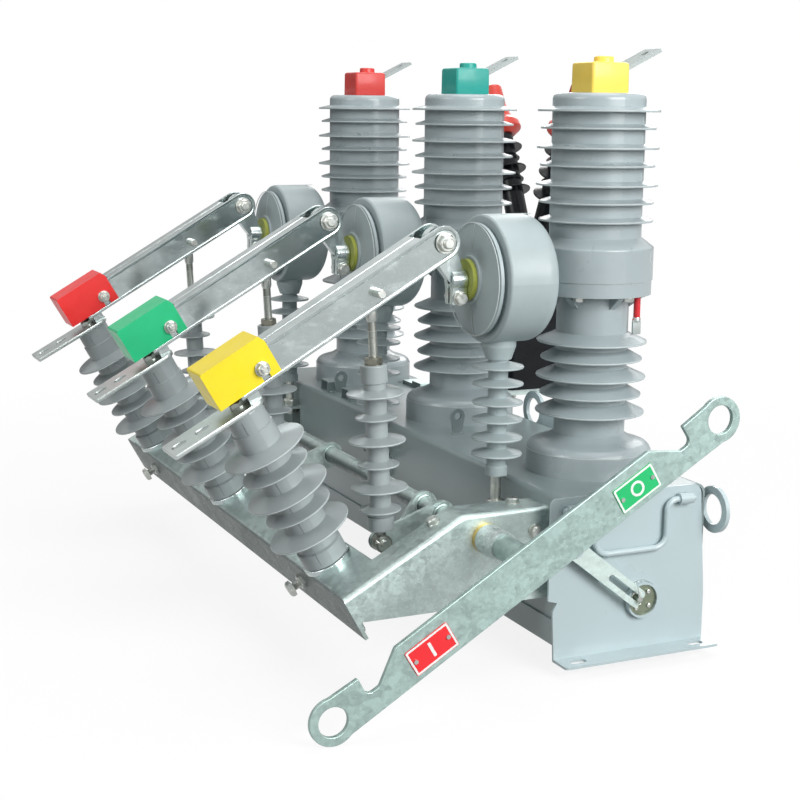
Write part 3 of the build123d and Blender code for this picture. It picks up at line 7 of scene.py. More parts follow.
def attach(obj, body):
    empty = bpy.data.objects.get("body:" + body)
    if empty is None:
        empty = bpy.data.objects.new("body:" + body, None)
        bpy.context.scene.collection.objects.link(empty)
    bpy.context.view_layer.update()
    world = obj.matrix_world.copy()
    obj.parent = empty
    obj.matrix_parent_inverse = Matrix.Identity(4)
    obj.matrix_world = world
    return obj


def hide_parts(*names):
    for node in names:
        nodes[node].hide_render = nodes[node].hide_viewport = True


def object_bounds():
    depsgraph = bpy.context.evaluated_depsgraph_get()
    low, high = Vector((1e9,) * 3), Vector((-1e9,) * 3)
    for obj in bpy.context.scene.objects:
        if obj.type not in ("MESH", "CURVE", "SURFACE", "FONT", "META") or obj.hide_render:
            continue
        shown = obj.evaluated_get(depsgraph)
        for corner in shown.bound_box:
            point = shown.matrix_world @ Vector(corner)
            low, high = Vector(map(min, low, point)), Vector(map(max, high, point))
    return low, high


# Visual model of the outdoor vacuum circuit breaker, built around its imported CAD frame. Blender works in
# metres. The places and sizes below are in millimetres, as in the CAD, and Form scales them.
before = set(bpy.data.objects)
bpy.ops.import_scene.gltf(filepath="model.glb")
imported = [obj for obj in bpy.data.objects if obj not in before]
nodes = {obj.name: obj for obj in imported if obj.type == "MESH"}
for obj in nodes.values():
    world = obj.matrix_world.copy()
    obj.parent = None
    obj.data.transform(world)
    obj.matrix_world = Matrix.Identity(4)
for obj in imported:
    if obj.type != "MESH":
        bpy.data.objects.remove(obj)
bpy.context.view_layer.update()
scene = bpy.context.scene
scene.view_settings.view_transform = "Standard"
MM = 0.001
FRONT_AND_DOWN = (0.0, -0.86, -0.5)
POLES = (("near", 340.0), ("middle", 0.0), ("far", -340.0))


# Node helpers for the procedural materials
def maths(tree, operation, *values):
    """Output of a new maths node, fed by sockets or plain numbers."""
    node = tree.nodes.new("ShaderNodeMath")
    node.operation = operation
    for value, socket in zip(values, node.inputs):
        feed(tree, value, socket)
    return node.outputs[0]


def feed(tree, value, socket):
    if hasattr(value, "is_linked"):
        tree.links.new(value, socket)
    else:
        socket.default_value = value


class Shader:
    """A new material with its Principled shader and short ways to add and link nodes."""

    def __init__(self, name, roughness, metallic=0.0, **constants):
        self.material = bpy.data.materials.new(name)
        self.material.use_nodes = True
        self.tree = self.material.node_tree
        self.surface = self.tree.nodes["Principled BSDF"]
        for key, value in {"Roughness": roughness, "Metallic": metallic, **constants}.items():
            self.surface.inputs[key.replace("_", " ")].default_value = value
        self.place = self.add("ShaderNodeTexCoord").outputs["Object"]

    def add(self, kind, **values):
        node = self.tree.nodes.new(kind)
        for key, value in values.items():
            if hasattr(node, key):
                setattr(node, key, value)
            else:
                node.inputs[key.replace("_", " ")].default_value = value
        return node

    def link(self, source, target):
        self.tree.links.new(source, target)

    def stretched(self, x, y, z, turn=(0.0, 0.0, 0.0)):
        """The surface position scaled along each axis, after a turn."""
        mapping = self.add("ShaderNodeMapping")
        mapping.inputs["Rotation"].default_value = turn
        mapping.inputs["Scale"].default_value = (x, y, z)
        self.link(self.place, mapping.inputs["Vector"])
        return mapping.outputs["Vector"]

    def noise(self, scale, detail=3.0, place=None, rough=0.55):
        node = self.add("ShaderNodeTexNoise", Scale=scale, Detail=detail, Roughness=rough)
        self.link(place or self.place, node.inputs["Vector"])
        return node.outputs["Fac"]

    def warped(self, scale, amount):
        """The surface position pushed about by a noise, to break up straight cell borders."""
        node = self.add("ShaderNodeTexNoise", Scale=scale, Detail=2.0)
        self.link(self.place, node.inputs["Vector"])
        push = self.add("ShaderNodeVectorMath", operation="MULTIPLY_ADD")
        self.link(node.outputs["Color"], push.inputs[0])
        push.inputs[1].default_value = (amount, amount, amount)
        self.link(self.place, push.inputs[2])
        return push.outputs[0]

    def cells(self, scale, place=None):
        node = self.add("ShaderNodeTexVoronoi", Scale=scale)
        self.link(place or self.place, node.inputs["Vector"])
        return node

    def spread(self, value, low, high, source_low=0.3, source_high=0.7):
        node = self.add("ShaderNodeMapRange", From_Min=source_low, From_Max=source_high,
                        To_Min=low, To_Max=high)
        self.link(value, node.inputs["Value"])
        return node.outputs["Result"]

    def mix(self, factor, first, second):
        node = self.add("ShaderNodeMix", data_type="RGBA")
        for value, socket in ((factor, node.inputs[0]), (first, node.inputs[6]), (second, node.inputs[7])):
            feed(self.tree, (*value, 1.0) if isinstance(value, tuple) else value, socket)
        return node.outputs[2]

    def maths(self, operation, first, second):
        return maths(self.tree, operation, first, second)

    def upward(self, low, high):
        """0 on faces whose normal rises less than low, 1 where it rises more than high."""
        split = self.add("ShaderNodeSeparateXYZ")
        self.link(self.add("ShaderNodeNewGeometry").outputs["Normal"], split.inputs[0])
        return self.spread(split.outputs["Z"], 0.0, 1.0, low, high)

    def forward(self, share):
        """Mask of the painted shade: up to the given share on faces that look to the front and down, 0
        elsewhere.
        """
        along = self.add("ShaderNodeVectorMath", operation="DOT_PRODUCT")
        self.link(self.add("ShaderNodeNewGeometry").outputs["Normal"], along.inputs[0])
        along.inputs[1].default_value = FRONT_AND_DOWN
        return self.spread(along.outputs["Value"], 0.0, share, 0.4, 0.8)

    def colour(self, value):
        self.link(value, self.surface.inputs["Base Color"])

    def rough(self, value):
        self.link(value, self.surface.inputs["Roughness"])

    def bump(self, height, strength, distance):
        node = self.add("ShaderNodeBump", Strength=strength, Distance=distance)
        self.link(height, node.inputs["Height"])
        self.link(node.outputs["Normal"], self.surface.inputs["Normal"])


def srgb(red, green, blue):
    """Linear colour from 0 to 255 display values."""
    return tuple(((v / 255 + 0.055) / 1.055) ** 2.4 if v > 10 else v / 3295 for v in (red, green, blue))


def shade(colour, factor):
    return tuple(min(1.0, c * factor) for c in colour)


def resin(name, colour, roughness, dust=0.2, coat=0.3, shine=0.5):
    """Cast resin or moulded silicone: faint clouds, a little dust on top, fine skin."""
    s = Shader(name, roughness, Coat_Weight=coat, Coat_Roughness=0.2, Specular_IOR_Level=shine)
    clouds = s.noise(9.0, 4.0)
    fine = s.noise(70.0)
    body = s.mix(s.spread(clouds, 0.0, 1.0), shade(colour, 0.94), shade(colour, 1.05))
    body = s.mix(s.spread(fine, 0.0, 0.25, 0.45, 0.75), body, shade(colour, 0.88))
    settled = s.maths("MULTIPLY", s.upward(0.35, 0.98), s.spread(s.noise(38.0, 4.0), 0.1, dust * 1.6))
    s.colour(s.mix(settled, body, shade(colour, 1.25)))
    s.rough(s.spread(s.noise(26.0), roughness - 0.05, roughness + 0.1))
    s.bump(s.maths("ADD", s.noise(300.0, 2.0), s.maths("MULTIPLY", clouds, 2.0)), 0.14, 0.0004)
    return s.material


def paint(name, colour, roughness=0.3):
    """Sprayed enamel over sheet metal: slight tone changes, orange peel and pale dust on top."""
    s = Shader(name, roughness, Coat_Weight=0.4, Coat_Roughness=0.12)
    clouds = s.noise(4.0)
    streaks = s.noise(16.0, 3.0, s.stretched(1.0, 1.0, 0.3))
    body = s.mix(s.spread(clouds, 0.0, 1.0), shade(colour, 0.95), shade(colour, 1.04))
    body = s.mix(s.spread(streaks, 0.0, 0.5, 0.5, 0.75), body, shade(colour, 0.93))
    settled = s.maths("MULTIPLY", s.upward(0.5, 0.98), s.spread(s.noise(30.0), 0.05, 0.3))
    s.colour(s.mix(settled, body, shade(colour, 1.2)))
    s.rough(s.spread(s.noise(12.0), roughness - 0.04, roughness + 0.08))
    s.bump(s.noise(170.0, 2.0), 0.08, 0.0005)
    return s.material


def galvanised(name, colour, scale, contrast, metallic, painted_front_shade=0.0):
    """Hot-dip zinc: feathery spangles, dull runs, bright pinheads and painted shade on faces that look to the
    front and down.
    """
    s = Shader(name, 0.42, metallic)
    place = s.warped(scale * 0.9, 0.006)
    parts = []
    for size in (scale, scale * 2.7):
        value = s.add("ShaderNodeRGBToBW")
        s.link(s.cells(size, place).outputs["Color"], value.inputs[0])
        parts.append(s.maths("MULTIPLY", value.outputs[0], 0.5))
    grain = s.maths("ADD", *parts)
    feathers = s.noise(150.0, 4.0, s.stretched(1.0, 0.35, 1.0, (0.6, 0.0, 0.0)), 0.7)
    runs = s.noise(14.0, 6.0, s.stretched(1.0, 1.0, 0.4))
    body = s.mix(s.spread(grain, 0.0, 1.0, 0.25, 0.8),
                 shade(colour, 1 - contrast), shade(colour, 1 + 0.5 * contrast))
    body = s.mix(s.spread(feathers, 0.0, 0.45, 0.45, 0.75), body, shade(colour, 1.22))
    body = s.mix(s.spread(runs, 0.0, 0.5, 0.5, 0.78), body, shade(colour, 0.74))
    # Painted shade: faces that look to the front and down are blended towards a dark copy of the colour
    body = s.mix(s.forward(painted_front_shade), body, shade(colour, 0.26))
    pins = s.spread(s.cells(210.0).outputs["Distance"], 0.6, 0.0, 0.05, 0.2)
    s.colour(s.mix(pins, body, shade(colour, 1.4)))
    s.rough(s.maths("ADD", s.spread(grain, 0.34, 0.5, 0.2, 0.8), s.spread(runs, -0.04, 0.12)))
    s.bump(s.maths("ADD", s.maths("MULTIPLY", grain, 0.5), s.maths("ADD", feathers, runs)), 0.2, 0.0005)
    return s.material


def plated(name, colour, roughness, along, smudge, turn=(0.0, 0.0, 0.0)):
    """Bright plated metal: cloudy smudges, whitish stains, pinholes and faint draw lines."""
    s = Shader(name, roughness, 1.0)
    lines = s.noise(900.0, 3.0, s.stretched(*along, turn))
    smudges = s.noise(24.0, 6.0, s.warped(40.0, 0.012), 0.6)
    stains = s.noise(70.0, 5.0, s.stretched(*[max(0.45, a) for a in along], turn), 0.7)
    specks = s.spread(s.cells(150.0).outputs["Distance"], 0.6, 0.0, 0.03, 0.12)
    body = s.mix(s.spread(smudges, 0.0, 1.0), shade(colour, 1 - smudge), shade(colour, 1.06))
    body = s.mix(s.spread(stains, 0.0, 0.5, 0.52, 0.78), body, shade(colour, 1.25))
    s.colour(s.mix(specks, body, shade(colour, 1.5)))
    s.rough(s.maths("ADD", s.spread(smudges, roughness + 0.06, roughness - 0.04),
                    s.spread(stains, 0.0, 0.12, 0.5, 0.8)))
    s.bump(s.maths("ADD", s.maths("MULTIPLY", lines, 0.5), s.maths("MULTIPLY", smudges, 2.0)), 0.05, 0.0003)
    return s.material


def zinc(name, colour, roughness):
    """Zinc-plated fastener: faint yellow stain and dull spots."""
    s = Shader(name, roughness, 1.0)
    stain = s.noise(90.0)
    spots = s.noise(240.0)
    warm = tuple(c * f for c, f in zip(colour, (1.04, 1.02, 0.95)))
    body = s.mix(s.spread(stain, 0.0, 1.0), shade(colour, 0.85), warm)
    s.colour(s.mix(s.spread(spots, 0.0, 0.35, 0.5, 0.8), body, shade(colour, 0.6)))
    s.rough(s.spread(spots, roughness - 0.05, roughness + 0.1))
    return s.material


def plastic(name, colour, roughness):
    """Injection-moulded plastic: slight sink marks, fine texture and scuffs."""
    s = Shader(name, roughness, Coat_Weight=0.2, Coat_Roughness=0.15)
    clouds = s.noise(24.0)
    scuffs = s.noise(150.0, 6.0, s.stretched(1.0, 0.3, 1.0, (0.5, 0.0, 0.0)))
    body = s.mix(s.spread(clouds, 0.0, 1.0), shade(colour, 0.95), shade(colour, 1.04))
    s.colour(s.mix(s.spread(scuffs, 0.0, 0.16, 0.58, 0.8), body, shade(colour, 0.74)))
    s.rough(s.spread(s.noise(60.0, 4.0), roughness - 0.06, roughness + 0.12))
    s.bump(s.maths("ADD", s.noise(700.0, 2.0), s.maths("MULTIPLY", clouds, 3.0)), 0.1, 0.0003)
    return s.material


bright = srgb(206, 217, 216)
blade_turn = (radians(-30.5), 0.0, 0.0)

M = {
    "column": resin("column_resin", srgb(164, 176, 179), 0.3),
    "drum": resin("drum_resin", srgb(166, 179, 181), 0.44, coat=0.12),
    "shed": resin("silicone_sheds", srgb(158, 167, 168), 0.36),
    # Painted highlight: the mould flash and seam lines are real ridges, and their lighter colour paints the
    # highlight along them
    "rim": resin("moulded_rim_painted_highlight", srgb(196, 206, 206), 0.3, 0.0),
    "dark_seam": resin("seam_shadow", srgb(124, 132, 134), 0.5, 0.0),
    # Painted light: the tank and its end plates wear one enamel, a darker copy on the tank as painted shade
    # and a lighter copy on the end plates as painted light
    "tank": paint("tank_enamel_painted_shade", srgb(140, 154, 155), 0.34),
    "plates": paint("end_plate_enamel_painted_light", srgb(178, 194, 197)),
    # The frame's last value is the share of painted shade on its faces to the front and down
    "galvanised": galvanised("galvanised_frame", srgb(190, 205, 202), 110.0, 0.14, 0.9, 0.95),
    "collar": galvanised("galvanised_collars", srgb(206, 216, 214), 160.0, 0.24, 0.9),
    "fork": galvanised("galvanised_fork", srgb(206, 222, 217), 130.0, 0.1, 0.55),
    "lever": galvanised("galvanised_lever", srgb(164, 186, 181), 90.0, 0.16, 0.6),
    "weld": galvanised("weld_metal", srgb(170, 186, 182), 400.0, 0.3, 0.8),
    "blade": plated("blade_plating", bright, 0.14, (1.0, 0.1, 1.0), 0.24, blade_turn),
    "bright": plated("bright_fittings", bright, 0.2, (1.0, 1.0, 0.05), 0.2),
    "tinned": plated("tinned_plates", srgb(196, 204, 202), 0.32, (0.05, 1.0, 1.0), 0.15),
    "terminal": resin("terminal_tinning", srgb(178, 188, 187), 0.6, 0.0, coat=0.0, shine=0.2),
    "fastener": zinc("zinc_fasteners", srgb(200, 204, 202), 0.3),
    "dull": zinc("dull_steel", srgb(150, 154, 150), 0.42),
    "dark_nut": zinc("dark_nuts", srgb(146, 146, 136), 0.26),
    "olive": zinc("passivated_disc", srgb(140, 150, 132), 0.4),
    "brass": plated("turned_brass", srgb(214, 184, 112), 0.3, (1.0, 0.1, 0.1), 0.2),
    "copper": plated("turned_copper", srgb(206, 140, 108), 0.3, (1.0, 1.0, 0.05), 0.2),
    "ceramic": resin("glazed_ceramic", srgb(232, 230, 222), 0.22, 0.0),
    "gasket": resin("olive_gasket", srgb(160, 168, 66), 0.6, 0.0),
    "black": resin("black_resin", srgb(12, 16, 20), 0.26, 0.02, coat=0.0, shine=0.24),
    "red_cap": resin("red_silicone", srgb(206, 62, 48), 0.34, 0.05),
    "yellow_hood": plastic("yellow_hood_plastic", srgb(250, 226, 14), 0.36),
    "green_hood": plastic("green_hood_plastic", srgb(6, 200, 132), 0.36),
    "red_hood": plastic("red_hood_plastic", srgb(252, 40, 38), 0.36),
    "amber_top": plastic("amber_top_plastic", srgb(252, 218, 92), 0.44),
    "teal_top": plastic("teal_top_plastic", srgb(16, 158, 146), 0.44),
    "brick_top": plastic("brick_top_plastic", srgb(212, 58, 52), 0.44),
    "sleeve": plastic("lead_sleeve", srgb(214, 36, 44), 0.28),
    "white": plastic("white_print", srgb(238, 240, 238), 0.5),
    "green_label": plastic("green_print", srgb(18, 186, 108), 0.38),
    "red_label": plastic("red_print", srgb(240, 38, 46), 0.38),
}

NODE_LOOKS = {
    "tank": "tank bottom_cover tank_fittings",
    "plates": "end_plate_near end_plate_far interlock_ring lifting_handle charging_lever",
    "column": "lower_insulators upper_insulators",
    "drum": "ct_bushings",
    "shed": "post_insulators pull_insulator_near pull_insulator_middle pull_insulator_far",
    "galvanised": "disconnector_frame disconnector_shaft leg_brackets vt_bracket",
    "collar": "shaft_collars",
    "lever": "hand_lever",
    "fork": "interlock_fork",
    "blade": "blade_near blade_middle blade_far",
    "bright": "hinge_clamps fixed_contacts conductors post_bases",
    "tinned": "line_terminals",
    "terminal": "top_terminals",
    "fastener": "flange_bolts disconnector_bolts frame_bolts crank_pins label_rivets leg_rods",
    "olive": "interlock_disc",
    "dull": "main_shaft shaft_bearings pull_eyes_near pull_eyes_middle pull_eyes_far",
    "brass": "frame_bushes",
    "copper": "contact_rod_near contact_rod_middle contact_rod_far",
    "ceramic": "interrupters",
    "gasket": "bushing_gaskets",
    "black": "vt_body",
    "red_cap": "vt_caps",
    "sleeve": "voltage_lead",
    "yellow_hood": "blade_cover_near",
    "green_hood": "blade_cover_middle",
    "red_hood": "blade_cover_far",
    "amber_top": "top_cover_near",
    "teal_top": "top_cover_middle",
    "brick_top": "top_cover_far",
    "green_label": "open_label",
    "red_label": "close_label",
}
for look, names in NODE_LOOKS.items():
    for name in names.split():
        slots = nodes[name].material_slots
        for one in slots:
            one.material = M[look]
        if not slots:
            nodes[name].data.materials.append(M[look])


# Camera at the photograph's place
PICTURE = 800
FOCAL = 1531.7
CENTRE_SHIFT = (-1.3, -5.0)
CAMERA_PLACE = (1.8764, -0.9620, 0.6105)


def place_camera():
    yaw, pitch, roll = radians(24.927), radians(10.53), radians(0.618)
    view = Vector((-cos(yaw) * cos(pitch), sin(yaw) * cos(pitch), -sin(pitch)))
    level = view.cross(Vector((0, 0, 1))).normalized()
    up = level.cross(view)
    right = level * cos(roll) + up * sin(roll)
    top = up * cos(roll) - level * sin(roll)
    data = bpy.data.cameras.new("camera")
    data.sensor_width = 36.0
    data.lens = FOCAL / PICTURE * data.sensor_width
    data.shift_x = CENTRE_SHIFT[0] / PICTURE
    data.shift_y = CENTRE_SHIFT[1] / PICTURE
    camera = bpy.data.objects.new("camera", data)
    rows = [(right[i], top[i], -view[i], CAMERA_PLACE[i]) for i in range(3)]
    camera.matrix_world = Matrix((*rows, (0, 0, 0, 1)))
    scene.collection.objects.link(camera)
    scene.camera = camera


# Studio: floor, world and soft lamps
def studio():
    size = 9.0
    mesh = bpy.data.meshes.new("floor")
    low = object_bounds()[0][2] - 0.0005
    corners = [(-size, -size, low), (size, -size, low), (size, size, low), (-size, size, low)]
    mesh.from_pydata(corners, [], [(0, 1, 2, 3)])
    floor = bpy.data.objects.new("floor", mesh)
    scene.collection.objects.link(floor)
    cloth = Shader("studio_floor", 1.0)
    cloth.surface.inputs["Base Color"].default_value = (0.9, 0.9, 0.9, 1)
    cloth.surface.inputs["Specular IOR Level"].default_value = 0.0
    # The floor turns into white light with distance, and keeps the shadow close to the object
    white = cloth.add("ShaderNodeEmission")
    white.inputs["Color"].default_value = (1, 1, 1, 1)
    blend = cloth.add("ShaderNodeMixShader")
    far = cloth.add("ShaderNodeVectorMath", operation="LENGTH")
    cloth.link(cloth.place, far.inputs[0])
    cloth.link(cloth.spread(far.outputs["Value"], 0.86, 1.0, 0.5, 1.6), blend.inputs[0])
    cloth.link(cloth.surface.outputs[0], blend.inputs[1])
    cloth.link(white.outputs[0], blend.inputs[2])
    path = cloth.add("ShaderNodeLightPath")
    seen = cloth.maths("MAXIMUM", path.outputs["Is Camera Ray"], path.outputs["Is Transmission Ray"])
    seen = cloth.maths("MAXIMUM", seen, cloth.maths("MULTIPLY", path.outputs["Is Glossy Ray"], 0.72))
    cloth.link(cloth.maths("MAXIMUM", seen, 0.12), white.inputs["Strength"])
    cloth.link(blend.outputs[0], cloth.tree.nodes["Material Output"].inputs["Surface"])
    floor.data.materials.append(cloth.material)

    world = bpy.data.worlds.new("studio_world")
    scene.world = world
    world.use_nodes = True
    tree = world.node_tree
    back = tree.nodes["Background"]
    back.inputs["Color"].default_value = (1, 1, 1, 1)

    # Seen in reflections: bright overhead and on the +X side, dark low on the -X side
    path = tree.nodes.new("ShaderNodeLightPath").outputs
    split = tree.nodes.new("ShaderNodeSeparateXYZ")
    tree.links.new(tree.nodes.new("ShaderNodeTexCoord").outputs["Generated"], split.inputs[0])
    side = maths(tree, "MULTIPLY_ADD", split.outputs[0], 0.58, 0.4)
    above = maths(tree, "MULTIPLY", split.outputs[2], 2.5)
    lowest = maths(tree, "MAXIMUM", maths(tree, "ADD", side, above), 0.12)
    glossy = maths(tree, "MULTIPLY", path["Is Glossy Ray"], maths(tree, "MINIMUM", lowest, 1.0))
    plain = maths(tree, "MULTIPLY", maths(tree, "SUBTRACT", 1.0, path["Is Glossy Ray"]), 0.32)
    seen = maths(tree, "MAXIMUM", path["Is Camera Ray"], path["Is Transmission Ray"])
    strength = maths(tree, "MAXIMUM", seen, maths(tree, "MAXIMUM", glossy, plain))
    tree.links.new(strength, back.inputs["Strength"])

    for name, place, target, width, height, energy in (
        ("key", (3.1, 0.7, 1.5), (0, -0.1, 0.35), 1.9, 1.6, 104.0),
        ("front", (0.6, -3.1, 1.7), (0, -0.1, 0.3), 1.4, 1.2, 26.0),
        ("top", (0.1, 0.3, 3.0), (0, 0, 0.3), 2.2, 1.6, 30.0),
        ("rim", (-2.2, 1.6, 1.6), (0, 0, 0.4), 1.4, 1.2, 22.0),
    ):
        data = bpy.data.lights.new(name, "AREA")
        data.shape = "RECTANGLE"
        data.size = width
        data.size_y = height
        data.energy = energy
        lamp = bpy.data.objects.new(name, data)
        lamp.location = place
        lamp.rotation_euler = (Vector(target) - Vector(place)).to_track_quat("-Z", "Y").to_euler()
        scene.collection.objects.link(lamp)


# Mesh building
BEAD_STEP = 0.45


def turns(steps):
    """Angles of even steps all the way round."""
    return [2 * pi * k / steps for k in range(steps)]


class Form:
    """A mesh under construction. Its points are in millimetres in the place given last."""

    def __init__(self):
        self.points = []
        self.faces = []
        self.put((0, 0, 0), (0, 0, 1))

    def put(self, origin, heading, side=None):
        """Work from origin with w along heading, and u along side where it is given."""
        self.origin = Vector(origin)
        self.w = Vector(heading).normalized()
        hint = Vector(side) if side else Vector((1, 0, 0) if abs(self.w.x) < 0.9 else (0, 1, 0))
        self.u = (hint - self.w * hint.dot(self.w)).normalized()
        self.v = self.w.cross(self.u)
        return self

    def at(self, u, v, w):
        return (self.origin + self.u * u + self.v * v + self.w * w) * MM

    def ring(self, points):
        """A closed ring of (u, v, w) points. Returns their numbers."""
        start = len(self.points)
        self.points += [self.at(*point) for point in points]
        return list(range(start, len(self.points)))

    def loft(self, rings, closed=False):
        """Skin over rings of points, with flat ends or closed into a torus."""
        made = [self.ring(points) for points in rings]
        for first, second in zip(made, made[1:] + made[:1] if closed else made[1:]):
            for i, here in enumerate(first):
                j = (i + 1) % len(first)
                self.faces.append((here, first[j], second[j], second[i]))
        if not closed:
            self.faces += [tuple(reversed(made[0])), tuple(made[-1])]
        return self

    def lathe(self, profile, steps=32, closed=False):
        """Turned shape from (radius, w) corners."""
        return self.loft([[(r * cos(a), r * sin(a), w) for a in turns(steps)] for r, w in profile], closed)

    def hexagon(self, flats, height, low=0.0):
        """Hexagon head or nut with its corners chamfered at the top, standing on w = low."""
        inner = flats / 2
        corner = flats / sqrt(3)
        rings = []
        for lift, inset in ((0.0, 0.0), (height * 0.9, 0.0), (height, 1.0)):
            points = []
            for i in range(12):
                radius = inner if i % 2 else corner
                drop = 0.0 if i % 2 or lift == height or lift == 0 else 0.14 * flats / 2
                radius = inner * 0.95 if inset else radius
                points.append((radius * cos(pi * i / 6), radius * sin(pi * i / 6), low + lift - drop))
            rings.append(points)
        return self.loft(rings)

    def thread(self, radius, low, high, pitch=1.5):
        """Threaded bar: a ridge for each pitch, with a chamfered end."""
        depth = pitch * 0.3
        profile = []
        w = low
        while w < high - 1.2 * pitch:
            profile += [(radius, w), (radius, w + 0.2 * pitch), (radius - depth, w + 0.6 * pitch)]
            w += pitch
        profile += [(radius, w), (radius, high - 0.6 * pitch), (radius - 0.7 * pitch, high)]
        return self.lathe(profile, 24)

    def tube(self, path, radius, steps=8):
        """Round wire along (u, v, w) points. radius may be a list with one value for each point."""
        points = [Vector(point) for point in path]
        rings = []
        side = None
        for i, point in enumerate(points):
            ahead = (points[min(i + 1, len(points) - 1)] - points[max(i - 1, 0)]).normalized()
            hint = side if side else Vector((0, 0, 1) if abs(ahead.z) < 0.9 else (1, 0, 0))
            side = (hint - ahead * hint.dot(ahead)).normalized()
            other = ahead.cross(side)
            r = radius[i] if isinstance(radius, list) else radius
            rings.append([tuple(point + side * r * cos(a) + other * r * sin(a)) for a in turns(steps)])
        return self.loft(rings)

    def bead(self, start, end, radius):
        """Weld bead between two points in the CAD's frame: overlapping ripples of uneven size."""
        self.put((0, 0, 0), (0, 0, 1))
        start, end = Vector(start), Vector(end)
        count = max(4, int((end - start).length / (radius * BEAD_STEP)))
        path = []
        sizes = []
        for i in range(count + 1):
            wobble = sin(i * 12.9898) * 0.5 + sin(i * 4.1414) * 0.5
            path.append(start.lerp(end, i / count))
            taper = min(1.0, 0.45 + 0.3 * min(i, count - i))
            sizes.append(radius * taper * (1 + 0.12 * wobble + 0.1 * (i % 2)))
        return self.tube(path, sizes, 10)

    def object(self, name, look, body, slot=None, replaced=()):
        mesh = bpy.data.meshes.new(name)
        mesh.from_pydata([tuple(point) for point in self.points], [], self.faces)
        return publish(mesh, name, look, body, slot, replaced, 32.0)


def publish(mesh, name, look, body, slot, replaced, sharp):
    """A finished piece from its mesh: shaded, in its material, riding on its body."""
    mesh.validate()
    mesh.shade_smooth()
    mesh.set_sharp_from_angle(angle=radians(sharp))
    mesh.materials.clear()
    mesh.materials.append(M[look])
    piece = bpy.data.objects.new(name, mesh)
    scene.collection.objects.link(piece)
    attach(piece, body)
    if replaced:
        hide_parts(*replaced)
    return piece


def carve(piece, low, high):
    """Cut the box between two corners, in millimetres, out of a piece."""
    box = bpy.data.meshes.new("cutter")
    spans = list(zip(low, high))
    corners = [(x * MM, y * MM, z * MM) for x in spans[0] for y in spans[1] for z in spans[2]]
    faces = [(0, 1, 3, 2), (4, 6, 7, 5), (0, 4, 5, 1), (2, 3, 7, 6), (0, 2, 6, 4), (1, 5, 7, 3)]
    box.from_pydata(corners, [], faces)
    cutter = bpy.data.objects.new("cutter", box)
    scene.collection.objects.link(cutter)
    cutter.matrix_world = piece.matrix_world
    step = piece.modifiers.new("carve", "BOOLEAN")
    step.operation = "DIFFERENCE"
    step.solver = "EXACT"
    step.use_self = True
    step.object = cutter
    cut = bpy.data.meshes.new_from_object(piece.evaluated_get(bpy.context.evaluated_depsgraph_get()))
    piece.modifiers.clear()
    piece.data = cut
    bpy.data.objects.remove(cutter)


def rounded(corners, steps=6):
    """Points of a closed outline, where corners (u, v, radius) are rounded and corners (u, v) are sharp."""
    points = []
    count = len(corners)
    for i, corner in enumerate(corners):
        here = Vector(corner[:2])
        if len(corner) < 3:
            points.append(tuple(here))
            continue
        radius = corner[2]
        before = (Vector(corners[i - 1][:2]) - here).normalized()
        after = (Vector(corners[(i + 1) % count][:2]) - here).normalized()
        half = before.angle(after) / 2
        reach = radius / tan(half)
        centre = here + (before + after).normalized() * radius / sin(half)
        first = here + before * reach - centre
        last = here + after * reach - centre
        start = atan2(first.y, first.x)
        sweep = atan2(first.x * last.y - first.y * last.x, first.dot(last))
        for k in range(steps + 1):
            angle = start + sweep * k / steps
            points.append((centre.x + radius * cos(angle), centre.y + radius * sin(angle)))
    return points


def circle(u, v, radius, steps=40):
    return [(u + radius * cos(a), v + radius * sin(a)) for a in turns(steps)]


def rectangle(half_u, half_v, corner, steps):
    corners = [(-half_u, -half_v, corner), (half_u, -half_v, corner), (half_u, half_v, corner),
               (-half_u, half_v, corner)]
    return rounded(corners, steps)


def plate(name, outlines, thickness, place, look, body, slot=None, replaced=(), bevel=0.6):
    """Flat plate with eased edges from closed outlines, the first less the others. place is (origin, u, v)
    in millimetres, and the plate rises from the origin along u x v."""
    curve = bpy.data.curves.new(name, "CURVE")
    curve.dimensions = "2D"
    curve.fill_mode = "BOTH"
    for outline in outlines:
        spline = curve.splines.new("POLY")
        spline.points.add(len(outline) - 1)
        for point, (u, v) in zip(spline.points, outline):
            point.co = (u * MM, v * MM, 0, 1)
        spline.use_cyclic_u = True
    curve.extrude = (thickness / 2 - bevel) * MM
    curve.bevel_depth = bevel * MM
    curve.bevel_resolution = 1
    curve.offset = -bevel * MM
    holder = bpy.data.objects.new(name + "_outline", curve)
    mesh = bpy.data.meshes.new_from_object(holder)
    bpy.data.objects.remove(holder)
    bpy.data.curves.remove(curve)
    origin, u, v = (Vector(part) for part in place)
    w = u.cross(v)
    middle = (origin + w * thickness / 2) * MM
    rows = [(u[i], v[i], w[i], middle[i]) for i in range(3)]
    mesh.transform(Matrix((*rows, (0, 0, 0, 1))))
    mesh.name = name
    return publish(mesh, name, look, body, slot, replaced, 28.0)


# Places in the CAD, in millimetres. Pairs are (y, z), and PULL_PIN is (along, across) the blade
BLADE_SLOPE = radians(30.5)
PIVOT = (-206.0, 467.0)
BLADE_HALF = 19.0
BLADE_LENGTH = 285.0
BLADE_OUT = 20.5
BLADE_BOLT = 250.6
PULL_PIN = (96.4, -4.1)
HOOD_OUT = 24.0
CLAMP_BOLT = (-181.0, 403.5)
CLAMP_HALF = 9.8
POST_LEAN = radians(29.0)
POST_BASE = 215.0
JAW = (-440.7, 300.0)

# Frame, shaft and hand lever
FOLD = (-360.0, 98.9)
FRAME_END = 440.0
SHAFT = (-190.0, 149.0)
CRANK_PIN = (-270.5, 126.0)
LEVER_TURN = radians(31.1)
LEVER_FACE = 550.0
LEVER_THICKNESS = 6.0
LEVER_REACH = 263.5
LABEL_REACH = 140.0

